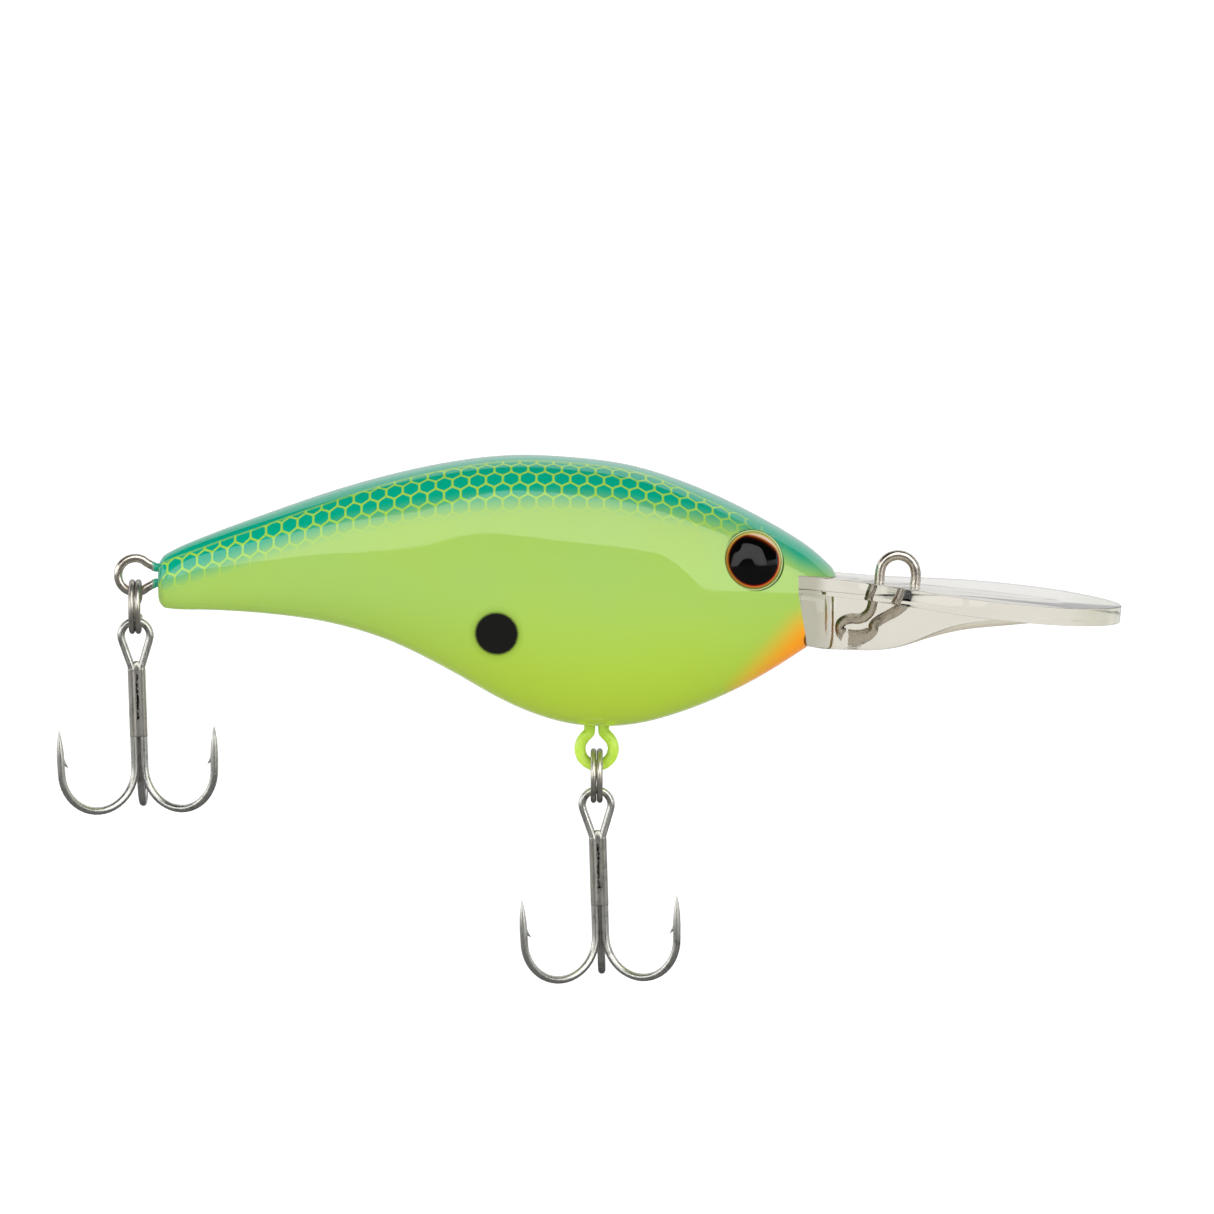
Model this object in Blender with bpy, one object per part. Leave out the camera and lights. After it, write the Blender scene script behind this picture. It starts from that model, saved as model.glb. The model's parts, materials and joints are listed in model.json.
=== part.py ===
"""A deep-diving crankbait: two moulded half shells, a clear diving lip, wire hangers, split rings, brazed
treble hooks, glued eyes, fixed ballast and loose rattle balls.

Lengths are in millimetres until MM turns them into Blender's metres. +X is the nose, +Y the left flank and
+Z the back. The origin is the centre of the line tie's eye.
"""

import math

import bmesh
import bpy
from mathutils import Matrix, Vector

MM = 0.001

# Body: x, back, belly and half width, from the tail's end face to the tip of the forehead.
BODY = (
    (-77.15, 0.85, -2.85, 1.3),
    (-76.4, 1.98, -3.7, 2.2),
    (-71.7, 4.07, -3.86, 3.1),
    (-65.5, 6.36, -4.28, 4.3),
    (-59.2, 8.55, -5.21, 5.6),
    (-53.0, 10.33, -7.09, 6.9),
    (-46.7, 11.68, -10.22, 8.1),
    (-40.4, 12.41, -13.77, 9.0),
    (-34.2, 12.2, -15.85, 9.5),
    (-27.9, 11.37, -15.96, 9.5),
    (-21.7, 9.39, -14.29, 8.9),
    (-15.4, 6.47, -11.47, 7.3),
    (-9.4, 2.92, -7.72, 5.0),
    (-6.2, 0.0, -5.3, 3.4),
)
MAX_HALF_WIDTH = max(row[3] for row in BODY)
RINGS_PER_SPAN = 3
FLANK_STEPS = 12
FLANK_POWER = 2.3
WIDEST_LEVEL = 0.52  # share of the height, from the belly, at which the body is widest
SEAM_GAP = 0.1
WALL = 1.5
CAVITY_TAIL, CAVITY_NOSE = -66.0, -18.0
CAVITY_RINGS = 16
CAVITY_RING_POINTS = 20

# Solid blocks left inside the hollow: x from and to, z from and to.
BALLAST_BLOCK = (-43.5, -20.0, -17.5, -4.8)
RATTLE_BLOCK = (-62.6, -46.4, -1.6, 4.4)

BALLAST_RADIUS = 3.5
BALLAST_CLEARANCE = 0.15
BALLAST_AT = {"front_ballast_ball": (-24.8, 0.0, -9.2), "rear_ballast_ball": (-38.6, 0.0, -8.9)}
RATTLE_RADIUS = 2.0
RATTLE_CLEARANCE = 0.15
RATTLE_Z = 1.4
RATTLES = {  # x, and travel each way across the body
    "front_rattle_ball": (-49.4, 3.2),
    "middle_rattle_ball": (-54.5, 2.6),
    "rear_rattle_ball": (-59.6, 1.8),
}

LOCATING_PINS = ((-14.2, -8.2), (-31.5, -7.6), (-68.2, 1.0))
PIN_RADIUS, PIN_LENGTH, PIN_CLEARANCE = 0.8, 1.2, 0.15
PIN_ROOT, PIN_SIDES = 2.5, 12
SOCKET_LEAD = 0.3  # how far a pin's socket runs past the seam

# Lip: the blade's top is a plane that falls towards the tip.
BLADE_SLOPE = -0.103
BLADE_TOP_AT_ORIGIN = -0.93
BLADE_THICK_ROOT, BLADE_THICK_TIP = 1.8, 1.85
BLADE_ROOT, BLADE_TIP = -10.4, 23.3
BLADE_PLAN = (
    (-10.4, 4.5), (-6.5, 4.7), (-2.0, 5.8), (2.3, 8.5), (6.0, 11.1), (9.5, 12.3), (12.5, 12.5),
    (16.0, 11.6), (19.2, 9.2), (21.6, 6.0), (22.8, 3.2), (23.3, 1.2),
)
BLADE_RINGS_PER_SPAN = 2
BLADE_POWER = 7.0
STEM = (  # x, drop below the blade's top, bottom, half width
    (-10.4, 0.5, -7.55, 4.3),
    (-7.6, 0.6, -7.9, 4.1),
    (-5.0, 0.6, -8.0, 3.2),
    (-2.5, 0.6, -8.05, 2.8),
    (0.2, 0.6, -7.7, 2.7),
    (3.4, 0.6, -6.7, 2.6),
    (6.5, 0.7, -5.95, 2.4),
    (9.5, 0.8, -5.6, 2.0),
    (12.0, 0.8, -5.4, 1.6),
    (14.5, 0.8, -5.15, 1.3),
    (16.5, 0.8, -4.8, 1.0),
)
STEM_POWER = 3.2
STEM_LEAN, SEAT_LEAN = -0.14, -0.17
OVAL_POINTS = 20
TONGUE = (-16.0, -9.9, -6.2, -1.4)  # x from and to, z from and to
TONGUE_HALF_WIDTH, TONGUE_ROOT = 2.4, 1.5
SEAT_GAP = 0.12

# Wires
TIE_RADIUS, TIE_WIRE = 1.87, 0.53
TIE_POST, TIE_POST_LOOP, TIE_POST_FLAT = (-4.4, -5.72), 1.8, 0.66
TIE_ENDS = (222.0, 250.0)  # degrees round the post at which the wire's two ends lie
WIRE_CLEARANCE = 0.1
BELLY_LOOP = (-31.4, -18.41)
BELLY_LOOP_RADIUS, BELLY_WIRE = 1.74, 0.6
BELLY_POST_Z = -12.9
TAIL_LOOP = (-79.5, -0.22)
TAIL_LOOP_RADIUS, TAIL_WIRE = 1.79, 0.45
TAIL_POST_X = -73.3
POST_LOOP_RADIUS = 1.45
NECK = {"belly": (1.95, 0.74), "tail": (2.25, 0.8)}  # distance from the loop's centre, half of the spacing
SHOULDER_DROP = (-0.35, 0.14)  # from the neck's start back to the curve that leads into it
POST_LEAD = 0.25
CORNER_STEP, EYE_STEP = 30.0, 22.0

# Tackle that hangs on a loop: how far the ring's centre and the hook's eye lie under the loop's bottom wire.
RING_MEAN_RADIUS, RING_WIRE, RING_COIL_OFFSET = 2.56, 0.31, 0.37
RING_STEP = 16.0
RING_START, RING_TURN, RING_JOG, RING_JOG_HALF = 25.0, 670.0, 360.0, 18.0
RING_DROP = {"belly": 1.09, "tail": 1.51}
HOOK_DROP = {"belly": 3.03, "tail": 3.02}  # from the ring's centre to the middle of the hook's eye

HOOK_WIRE = 0.4
HOOK_EYE_RADIUS = 1.51
HOOK_EYE_LEAVES = 20.0  # degrees below level at which the eye's arc turns into its legs
SHANK_OFFSET = 0.58
SHANK_TOP, SHANK_END = -3.3, -13.73
BEND_RADIUS = 4.3
POINT_Z, POINT_LEAN = -9.15, 0.15
POINT_TAPER = ((-12.3, 1.0), (-10.8, 0.78), (-9.8, 0.42), (POINT_Z, 0.08))  # height, share of the radius
BARB_Z, BARB_TIP_Z, BARB_REACH, BARB_HALF = (-11.9, -12.9), -13.35, 0.83, 0.2
HOOK_BEND_STEP = 15.0
SINGLE_TOP = -3.35
BRAZE_Z = (-3.9, -10.6)
BRAZE_RADIUS, BRAZE_CLEARANCE = 0.79, 0.045
BRAZE_SIDES, BRAZE_CUT_SIDES = 24, 12
DOUBLE_HEADINGS, SINGLE_HEADING = (330, 210), 90  # degrees from +X towards +Y
HOOK_LEAN = math.radians(-1.7)  # the trebles hang a little forward of plumb

# Eyes
EYE_AT = (-15.0, 2.0)
EYE_YAW, EYE_PITCH = 14.0, 14.0
EYE_RADIUS, EYE_RECESS_RADIUS, EYE_DEPTH = 3.2, 3.3, 1.15
FOIL_THICK, EYE_LAYER_GAP = 0.3, 0.05
DOME_PROFILE = ((3.2, 0.0), (3.17, 0.35), (2.95, 0.7), (2.4, 1.03), (1.5, 1.27), (0.5, 1.37))
EYE_SIDES = 28

BALL_SEGMENTS, BALL_RINGS = 16, 10
SMOOTH_ANGLE = math.radians(35)
WELD = 1e-6


def clear_scene():
    for obj in list(bpy.data.objects):
        bpy.data.objects.remove(obj, do_unlink=True)


def finish(name, colour, roughness, metallic, alpha=1.0):
    """A Principled material in the piece's own colour."""
    material = bpy.data.materials.new(name)
    material.use_nodes = True
    shader = material.node_tree.nodes["Principled BSDF"]
    shader.inputs["Base Color"].default_value = (*colour, 1.0)
    shader.inputs["Roughness"].default_value = roughness
    shader.inputs["Metallic"].default_value = metallic
    shader.inputs["Alpha"].default_value = alpha
    return material


def link(obj, parent=None):
    bpy.context.scene.collection.objects.link(obj)
    obj.parent = parent
    return obj


def pivot(name, place, parent=None):
    """An empty on a joint's axis, at a place in millimetres from its parent."""
    empty = bpy.data.objects.new(name, None)
    empty.empty_display_size = MM
    empty.location = Vector(place) * MM
    return link(empty, parent)


def mesh_object(name, shape, material=None, parent=None):
    """The shape, drawn in millimetres, as an object in metres."""
    mesh = bpy.data.meshes.new(name)
    bmesh.ops.scale(shape, vec=(MM, MM, MM), verts=shape.verts)
    shape.to_mesh(mesh)
    shape.free()
    mesh.shade_smooth()
    mesh.set_sharp_from_angle(angle=SMOOTH_ANGLE)
    if material:
        mesh.materials.append(material)
    return link(bpy.data.objects.new(name, mesh), parent)


def as_tool(obj):
    """A helper that cuts or joins others, and is no piece itself."""
    obj.hide_render = True
    obj.display_type = "WIRE"
    return obj


def combine(obj, operation, *tools):
    for tool in tools:
        modifier = obj.modifiers.new(tool.name, "BOOLEAN")
        modifier.operation = operation
        modifier.object = tool


def loft(rings):
    """A closed body through rings of points, with its first and last ring filled."""
    shape = bmesh.new()
    rows = [[shape.verts.new(point) for point in ring] for ring in rings]
    for row, following in zip(rows, rows[1:]):
        for i in range(len(row)):
            j = (i + 1) % len(row)
            shape.faces.new((row[i], row[j], following[j], following[i]))
    shape.faces.new(rows[0])
    shape.faces.new(rows[-1])
    bmesh.ops.recalc_face_normals(shape, faces=shape.faces)
    return shape


def block(x_range, half_width, z_range):
    """A box about the middle plane."""
    rings = []
    for x in x_range:
        rings.append([(x, y, z) for y, z in (
            (-half_width, z_range[0]), (half_width, z_range[0]),
            (half_width, z_range[1]), (-half_width, z_range[1]),
        )])
    return loft(rings)


def rod(start, end, radius, sides):
    """A round bar between two points."""
    start, end = Vector(start), Vector(end)
    turn = (end - start).to_track_quat("Z", "X")
    angles = [2 * math.pi * i / sides for i in range(sides)]
    circle = [turn @ Vector((radius * math.cos(a), radius * math.sin(a), 0)) for a in angles]
    return loft([[start + point for point in circle], [end + point for point in circle]])


def turned(profile, sides, place):
    """A turned body: radius and height pairs spun about local Z, then put in place by a matrix."""
    rings = []
    for radius, height in profile:
        angles = [2 * math.pi * i / sides for i in range(sides)]
        rings.append([place @ Vector((radius * math.cos(a), radius * math.sin(a), height)) for a in angles])
    return loft(rings)


def ball(centre, radius):
    shape = bmesh.new()
    bmesh.ops.create_uvsphere(shape, u_segments=BALL_SEGMENTS, v_segments=BALL_RINGS, radius=radius)
    bmesh.ops.translate(shape, vec=centre, verts=shape.verts)
    return shape


def arc(centre, radius, start, end, step=CORNER_STEP):
    """Points of an arc in the XZ plane. Angles are degrees from +X towards +Z."""
    count = max(2, round(abs(end - start) / step))
    angles = [math.radians(start + (end - start) * i / count) for i in range(count + 1)]
    return [Vector((centre[0] + radius * math.cos(a), 0, centre[1] + radius * math.sin(a))) for a in angles]


def eased(points, per_span=2):
    """A smooth curve through the points."""
    padded = [2 * points[0] - points[1], *points, 2 * points[-1] - points[-2]]
    curve = []
    for a, b, c, d in zip(padded, padded[1:], padded[2:], padded[3:]):
        for i in range(per_span):
            t = i / per_span
            curve.append(0.5 * (2 * b + (c - a) * t + (2 * a - 5 * b + 4 * c - d) * t**2
                                + (3 * b - a - 3 * c + d) * t**3))
    return [*curve, points[-1]]


def wire(name, points, radius, material=None, parent=None, tapers=None):
    """A round wire bent along the points, made a mesh so that others can join or cut it."""
    curve = bpy.data.curves.new(name, "CURVE")
    curve.dimensions = "3D"
    curve.bevel_depth = radius * MM
    curve.bevel_resolution = 2
    curve.use_fill_caps = True
    spline = curve.splines.new("POLY")
    spline.points.add(len(points) - 1)
    for i, place in enumerate(points):
        spline.points[i].co = (*(place * MM), 1)
        spline.points[i].radius = tapers[i] if tapers else 1.0
    guide = link(bpy.data.objects.new(name + "_guide", curve))
    mesh = bpy.data.meshes.new_from_object(guide)
    bpy.data.objects.remove(guide)
    shape = bmesh.new()
    shape.from_mesh(mesh)
    bmesh.ops.remove_doubles(shape, verts=shape.verts, dist=WELD)
    bmesh.ops.recalc_face_normals(shape, faces=shape.faces)
    shape.to_mesh(mesh)
    shape.free()
    mesh.name = name
    mesh.materials.clear()
    mesh.shade_smooth()
    mesh.set_sharp_from_angle(angle=SMOOTH_ANGLE)
    if material:
        mesh.materials.append(material)
    return link(bpy.data.objects.new(name, mesh), parent)


def read_table(table, x):
    """The values of a table's row at x, on a smooth curve through its rows."""
    last = len(table) - 1
    i = max(k for k in range(last) if table[k][0] <= x or k == 0)
    here, there = table[i], table[i + 1]
    before, after = table[max(i - 1, 0)], table[min(i + 2, last)]
    span = there[0] - here[0]
    t = (x - here[0]) / span
    row = []
    for k in range(1, len(here)):
        slope_in = (there[k] - before[k]) / (there[0] - before[0]) * span
        slope_out = (after[k] - here[k]) / (after[0] - here[0]) * span
        row.append(here[k] * (2 * t**3 - 3 * t**2 + 1) + slope_in * (t**3 - 2 * t**2 + t)
                   + there[k] * (3 * t**2 - 2 * t**3) + slope_out * (t**3 - t**2))
    return row


def stations(table, per_span):
    """The x of every row of a table, and of the rings between them."""
    places = []
    for here, there in zip(table, table[1:]):
        places += [here[0] + (there[0] - here[0]) * i / per_span for i in range(per_span)]
    return [*places, table[-1][0]]


def flank_point(x, angle, inset=0.0, seam=0.0):
    """A point of the body's surface at an angle from the back (0) to the belly (pi), on the left flank."""
    back, belly, half = read_table(BODY, x)
    back, belly, half = back - inset, belly + inset, half - inset
    level = belly + WIDEST_LEVEL * (back - belly)
    rise, out = math.cos(angle), max(math.sin(angle), 0.0)
    height = (back - level) if rise > 0 else (level - belly)
    z = level + height * math.copysign(abs(rise) ** (2 / FLANK_POWER), rise)
    return Vector((x, seam + (half - seam) * out ** (2 / FLANK_POWER), z))


def half_body(side):
    """One flank of the body, solid, cut off at the seam."""
    rings = []
    for x in stations(BODY, RINGS_PER_SPAN):
        ring = [flank_point(x, math.pi * i / FLANK_STEPS, seam=SEAM_GAP / 2) for i in range(FLANK_STEPS + 1)]
        rings.append([(p.x, side * p.y, p.z) for p in ring])
    return loft(rings)


def cavity():
    """The air space between the nose block and the tail block, on both sides of the seam."""
    rings = []
    angles = [math.pi * (k + 0.5) / CAVITY_RING_POINTS for k in range(CAVITY_RING_POINTS)]
    for i in range(CAVITY_RINGS + 1):
        x = CAVITY_TAIL + (CAVITY_NOSE - CAVITY_TAIL) * i / CAVITY_RINGS
        left = [flank_point(x, angle, WALL) for angle in angles]
        right = [Vector((p.x, -p.y, p.z)) for p in reversed(left)]
        rings.append(left + right)
    space = as_tool(mesh_object("cavity", loft(rings)))
    width = MAX_HALF_WIDTH + WALL
    for name, (x0, x1, z0, z1) in (("ballast_block", BALLAST_BLOCK), ("rattle_block", RATTLE_BLOCK)):
        combine(space, "DIFFERENCE", as_tool(mesh_object(name, block((x0, x1), width, (z0, z1)))))
    return space


def ball_pockets():
    """Round seats for the ballast and cross tunnels for the rattle balls."""
    pockets = []
    for name, centre in BALLAST_AT.items():
        pocket = mesh_object(name + "_seat", ball(centre, BALLAST_RADIUS + BALLAST_CLEARANCE))
        pockets.append(as_tool(pocket))
    radius = RATTLE_RADIUS + RATTLE_CLEARANCE
    for name, (x, travel) in RATTLES.items():
        reach = travel + radius
        tunnel = rod((x, -reach, RATTLE_Z), (x, reach, RATTLE_Z), radius, BALL_SEGMENTS)
        pockets.append(as_tool(mesh_object(name + "_tunnel", tunnel)))
    return pockets


def blade_top(x):
    return BLADE_TOP_AT_ORIGIN + BLADE_SLOPE * x


def lip_seat():
    """The room that the lip's collar and blade take out of the nose, and the pocket for its tongue."""
    front, floor = BLADE_TIP, -14.0
    corner = BLADE_ROOT - SEAT_GAP
    shoulder = blade_top(BLADE_ROOT) - BLADE_THICK_ROOT - SEAT_GAP
    outline = (
        (corner, blade_top(corner) + SEAT_GAP), (front, blade_top(front) + SEAT_GAP), (front, floor),
        (corner + SEAT_LEAN * (floor - shoulder), floor), (corner, shoulder),
    )
    seat = loft([[(x, y, z) for x, z in outline] for y in (-MAX_HALF_WIDTH, MAX_HALF_WIDTH)])
    x0, x1, z0, z1 = TONGUE
    width, heights = TONGUE_HALF_WIDTH + SEAT_GAP, (z0 - SEAT_GAP, z1 + SEAT_GAP)
    pocket = block((x0 - SEAT_GAP, x1 + TONGUE_ROOT), width, heights)
    return [as_tool(mesh_object("lip_seat", seat)), as_tool(mesh_object("tongue_pocket", pocket))]


def eye_frame(side):
    """The matrix of an eye: local Z looks out of the flank, its origin on the surface."""
    low, high = 0.0, math.pi / 2
    for _ in range(24):
        angle = (low + high) / 2
        low, high = (angle, high) if flank_point(EYE_AT[0], angle).z > EYE_AT[1] else (low, angle)
    place = flank_point(EYE_AT[0], low)
    yaw, pitch = math.radians(EYE_YAW), math.radians(EYE_PITCH)
    out = Vector((math.sin(yaw), side * math.cos(yaw) * math.cos(pitch), math.sin(pitch)))
    turn = out.to_track_quat("Z", "Y").to_matrix().to_4x4()
    return Matrix.Translation((place.x, side * place.y, place.z)) @ turn


def tie_strands():
    """The line tie in two strands: each runs from the back of the post loop to the top of the eye."""
    aft = [*post_arc(TIE_ENDS[0], 76), Vector((-3.05, 0, -4.05)), Vector((-2.7, 0, -3.2)),
           Vector((-2.45, 0, -2.2)), Vector((-1.97, 0, -1.1)), *arc((0, 0), TIE_RADIUS, 180, 90)]
    fore = [*post_arc(TIE_ENDS[1], 374), Vector((-2.05, 0, -4.9)), Vector((-1.2, 0, -4.45)),
            Vector((-0.2, 0, -3.95)), Vector((0.8, 0, -3.15)), Vector((1.5, 0, -2.1)),
            Vector((1.82, 0, -1.0)), *arc((0, 0), TIE_RADIUS, 0, 90)]
    return aft, fore


def post_arc(start, end):
    """An arc of the line tie's flattened loop round the post inside the lip."""
    points = arc(TIE_POST, TIE_POST_LOOP, start, end)
    return [Vector((p.x, 0, TIE_POST[1] + TIE_POST_FLAT * (p.z - TIE_POST[1]))) for p in points]


def hanger_strands(loop, radius, post, neck):
    """A hanger in two strands, from the far side of the post inside the body to the loop's outer end."""
    loop, post = Vector((loop[0], 0, loop[1])), Vector((post[0], 0, post[1]))
    along = (post - loop).normalized()
    across = Vector((-along.z, 0, along.x))
    reach = (post - loop).length
    neck_start, neck_half = neck
    outer = (180, 150, 120, 90, 65, 45)
    half = [(radius * math.cos(a), radius * math.sin(a)) for a in map(math.radians, outer)]
    half += [(neck_start + SHOULDER_DROP[0], neck_half + SHOULDER_DROP[1]), (neck_start, neck_half)]
    half += [(reach - POST_LOOP_RADIUS - POST_LEAD, neck_half)]
    inner = (125, 90, 60, 30, 15)
    half += [(reach + POST_LOOP_RADIUS * math.cos(a), POST_LOOP_RADIUS * math.sin(a))
             for a in map(math.radians, inner)]
    strands = []
    for side in (1, -1):
        strands.append([loop + along * u + across * (side * v) for u, v in reversed(half)])
    return strands


def join_strands(first, second):
    return eased([*first, *reversed(second[:-1])])


def wire_channels(name, strands, radius):
    """Tools that cut a wire's channel, a strand each, because one tool may not cross itself."""
    tools = []
    for i, strand in enumerate(strands):
        tool = wire(f"{name}_channel_{i}", eased(strand), radius + WIRE_CLEARANCE)
        tools.append(as_tool(tool))
    return tools


def make_shells(paint, tools, recesses):
    pins = []
    for i, (x, z) in enumerate(LOCATING_PINS):
        pin = rod((x, -PIN_ROOT, z), (x, PIN_LENGTH, z), PIN_RADIUS, PIN_SIDES)
        end = (x, PIN_LENGTH + 2 * PIN_CLEARANCE, z)
        socket = rod((x, -SOCKET_LEAD, z), end, PIN_RADIUS + PIN_CLEARANCE, PIN_SIDES)
        pins.append((as_tool(mesh_object(f"pin_{i}", pin)), as_tool(mesh_object(f"pin_socket_{i}", socket))))
    for name, side in (("right_shell", -1), ("left_shell", 1)):
        shell = mesh_object(name, half_body(side), paint)
        combine(shell, "DIFFERENCE", *tools, recesses[side])
        if side < 0:
            combine(shell, "UNION", *[pin for pin, _ in pins])
        else:
            combine(shell, "DIFFERENCE", *[socket for _, socket in pins])


def oval(x, top, bottom, half, power, lean=0.0):
    """A ring across X: an ellipse at power 2, and squarer above it."""
    middle, height = (top + bottom) / 2, (top - bottom) / 2
    ring = []
    for i in range(OVAL_POINTS):
        angle = 2 * math.pi * (i + 0.5) / OVAL_POINTS
        across, up = math.cos(angle), math.sin(angle)
        y = half * math.copysign(abs(across) ** (2 / power), across)
        z = middle + height * math.copysign(abs(up) ** (2 / power), up)
        ring.append((x + lean * (z - top), y, z))
    return ring


def make_lip(clear, channels):
    """The blade, its stem and collar, and the tongue that plugs into the nose, as one clear moulding."""
    blade = []
    for x in stations(BLADE_PLAN, BLADE_RINGS_PER_SPAN):
        share = (x - BLADE_ROOT) / (BLADE_TIP - BLADE_ROOT)
        thick = BLADE_THICK_ROOT + (BLADE_THICK_TIP - BLADE_THICK_ROOT) * share
        blade.append(oval(x, blade_top(x), blade_top(x) - thick, read_table(BLADE_PLAN, x)[0], BLADE_POWER))
    lip = mesh_object("diving_lip", loft(blade), clear)
    stem = []
    for x in stations(STEM, BLADE_RINGS_PER_SPAN):
        drop, bottom, half = read_table(STEM, x)
        fade = max(0.0, (STEM[2][0] - x) / (STEM[2][0] - STEM[0][0]))
        stem.append(oval(x, blade_top(x) - drop, bottom, half, STEM_POWER, STEM_LEAN * fade))
    x0, x1, z0, z1 = TONGUE
    tongue = block((x0, x1 + TONGUE_ROOT), TONGUE_HALF_WIDTH, (z0, z1))
    additions = [as_tool(mesh_object("lip_stem", loft(stem))), as_tool(mesh_object("lip_tongue", tongue))]
    combine(lip, "UNION", *additions)
    combine(lip, "DIFFERENCE", *channels)


def make_eye(side, foil, resin):
    word = "left" if side > 0 else "right"
    frame = eye_frame(side)
    floor = EYE_LAYER_GAP - EYE_DEPTH
    disc = [(EYE_RADIUS, floor), (EYE_RADIUS, floor + FOIL_THICK)]
    mesh_object(f"{word}_eye_foil", turned(disc, EYE_SIDES, frame), foil)
    base = floor + FOIL_THICK + EYE_LAYER_GAP
    dome = [(radius, base + height) for radius, height in DOME_PROFILE]
    mesh_object(f"{word}_eye_dome", turned(dome, EYE_SIDES, frame), resin)


def eye_recess(side):
    profile = [(EYE_RECESS_RADIUS, -EYE_DEPTH), (EYE_RECESS_RADIUS, EYE_RECESS_RADIUS)]
    word = "left" if side > 0 else "right"
    return as_tool(mesh_object(f"{word}_eye_recess", turned(profile, EYE_SIDES, eye_frame(side))))


def make_split_ring(name, drop, material, parent):
    """Two flat turns of wire side by side, joined by a short jog at the far side."""
    points = []
    count = round(RING_TURN / RING_STEP)
    for i in range(count + 1):
        turn = RING_START + RING_TURN * i / count
        share = min(max((turn - RING_JOG + RING_JOG_HALF) / (2 * RING_JOG_HALF), 0.0), 1.0)
        x = RING_COIL_OFFSET * (2 * share - 1)
        y = RING_MEAN_RADIUS * math.cos(math.radians(turn))
        z = RING_MEAN_RADIUS * math.sin(math.radians(turn)) - drop
        points.append(Vector((x, y, z)))
    wire(name, points, RING_WIRE, material, parent)


def hook_arm(heading):
    """From the top of a shank, round the bend to the point: places, and shares of the wire's radius."""
    outward = Vector((math.cos(math.radians(heading)), math.sin(math.radians(heading)), 0))
    middle = SHANK_OFFSET + BEND_RADIUS
    flat = [(SHANK_OFFSET, SHANK_TOP + (SHANK_END - SHANK_TOP) * i / 4, 1.0) for i in range(4)]
    count = round(180 / HOOK_BEND_STEP)
    for i in range(count + 1):
        angle = math.pi * (1 + i / count)
        flat.append((middle + BEND_RADIUS * math.cos(angle), SHANK_END + BEND_RADIUS * math.sin(angle), 1.0))
    leg = POINT_Z - SHANK_END
    for z, share in POINT_TAPER:
        flat.append((middle + BEND_RADIUS + POINT_LEAN * (z - SHANK_END) / leg, z, share))
    return [outward * r + Vector((0, 0, z)) for r, z, _ in flat], [share for _, _, share in flat]


def barb(name, heading, parent):
    """A sliver raised on the inner side of the point."""
    outward = Vector((math.cos(math.radians(heading)), math.sin(math.radians(heading)), 0))
    sideways = Vector((-outward.y, outward.x, 0))
    leg = SHANK_OFFSET + 2 * BEND_RADIUS + POINT_LEAN / 2
    shape = bmesh.new()
    base = [outward * leg + sideways * (side * BARB_HALF) + Vector((0, 0, z))
            for side, z in ((-1, BARB_Z[0]), (1, BARB_Z[0]), (1, BARB_Z[1]), (-1, BARB_Z[1]))]
    tip = shape.verts.new(outward * (leg - BARB_REACH) + Vector((0, 0, BARB_TIP_Z)))
    corners = [shape.verts.new(point) for point in base]
    shape.faces.new(corners)
    for i in range(4):
        shape.faces.new((corners[i], corners[(i + 1) % 4], tip))
    bmesh.ops.recalc_face_normals(shape, faces=shape.faces)
    return as_tool(mesh_object(name, shape, parent=parent))


def make_treble(word, metal, solder, parent):
    """A double hook bent from one wire, a single hook in its groove, and the braze between the shanks."""
    right, left = DOUBLE_HEADINGS
    arm, shares = hook_arm(right)
    twin, _ = hook_arm(left)
    start, end = -HOOK_EYE_LEAVES, 180 + HOOK_EYE_LEAVES
    path = [*reversed(arm), *arc((0, 0), HOOK_EYE_RADIUS, start, end, EYE_STEP), *twin]
    eye_points = len(path) - 2 * len(arm)
    tapers = [*reversed(shares), *[1.0] * eye_points, *shares]
    double = wire(f"{word}_hook_double", path, HOOK_WIRE, metal, parent, tapers)
    combine(double, "UNION", *[barb(f"{word}_barb_{turn}", turn, parent) for turn in DOUBLE_HEADINGS])
    arm, shares = hook_arm(SINGLE_HEADING)
    arm[0].z = SINGLE_TOP
    single = wire(f"{word}_hook_single", arm, HOOK_WIRE, metal, parent, shares)
    combine(single, "UNION", barb(f"{word}_barb_{SINGLE_HEADING}", SINGLE_HEADING, parent))
    core = rod((0, 0, BRAZE_Z[0]), (0, 0, BRAZE_Z[1]), BRAZE_RADIUS, BRAZE_SIDES)
    braze = mesh_object(f"{word}_hook_braze", core, solder, parent)
    for heading in (*DOUBLE_HEADINGS, SINGLE_HEADING):
        spot = Vector((math.cos(math.radians(heading)), math.sin(math.radians(heading)), 0)) * SHANK_OFFSET
        low, high = spot + Vector((0, 0, BRAZE_Z[1] - 1)), spot + Vector((0, 0, BRAZE_Z[0] + 1))
        groove = rod(low, high, HOOK_WIRE + BRAZE_CLEARANCE, BRAZE_CUT_SIDES)
        combine(braze, "DIFFERENCE", as_tool(mesh_object(f"{word}_groove_{heading}", groove, parent=parent)))


def hang_tackle(word, loop, radius, nickel, metal, solder):
    """A split ring that swings on a loop's bottom wire, and a treble that swings in the ring."""
    ring_pivot = pivot(f"{word}_ring_pivot", (loop[0], 0, loop[1] - radius))
    make_split_ring(f"{word}_split_ring", RING_DROP[word], nickel, ring_pivot)
    hook_pivot = pivot(f"{word}_hook_pivot", (0, 0, -RING_DROP[word] - HOOK_DROP[word]), ring_pivot)
    hook_pivot.rotation_euler.y = HOOK_LEAN
    make_treble(word, metal, solder, hook_pivot)


def make_balls(steel):
    for name, centre in BALLAST_AT.items():
        mesh_object(name, ball(centre, BALLAST_RADIUS), steel)
    for name, (x, _) in RATTLES.items():
        mesh_object(name, ball((0, 0, 0), RATTLE_RADIUS), steel, pivot(name + "_pivot", (x, 0, RATTLE_Z)))


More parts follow.
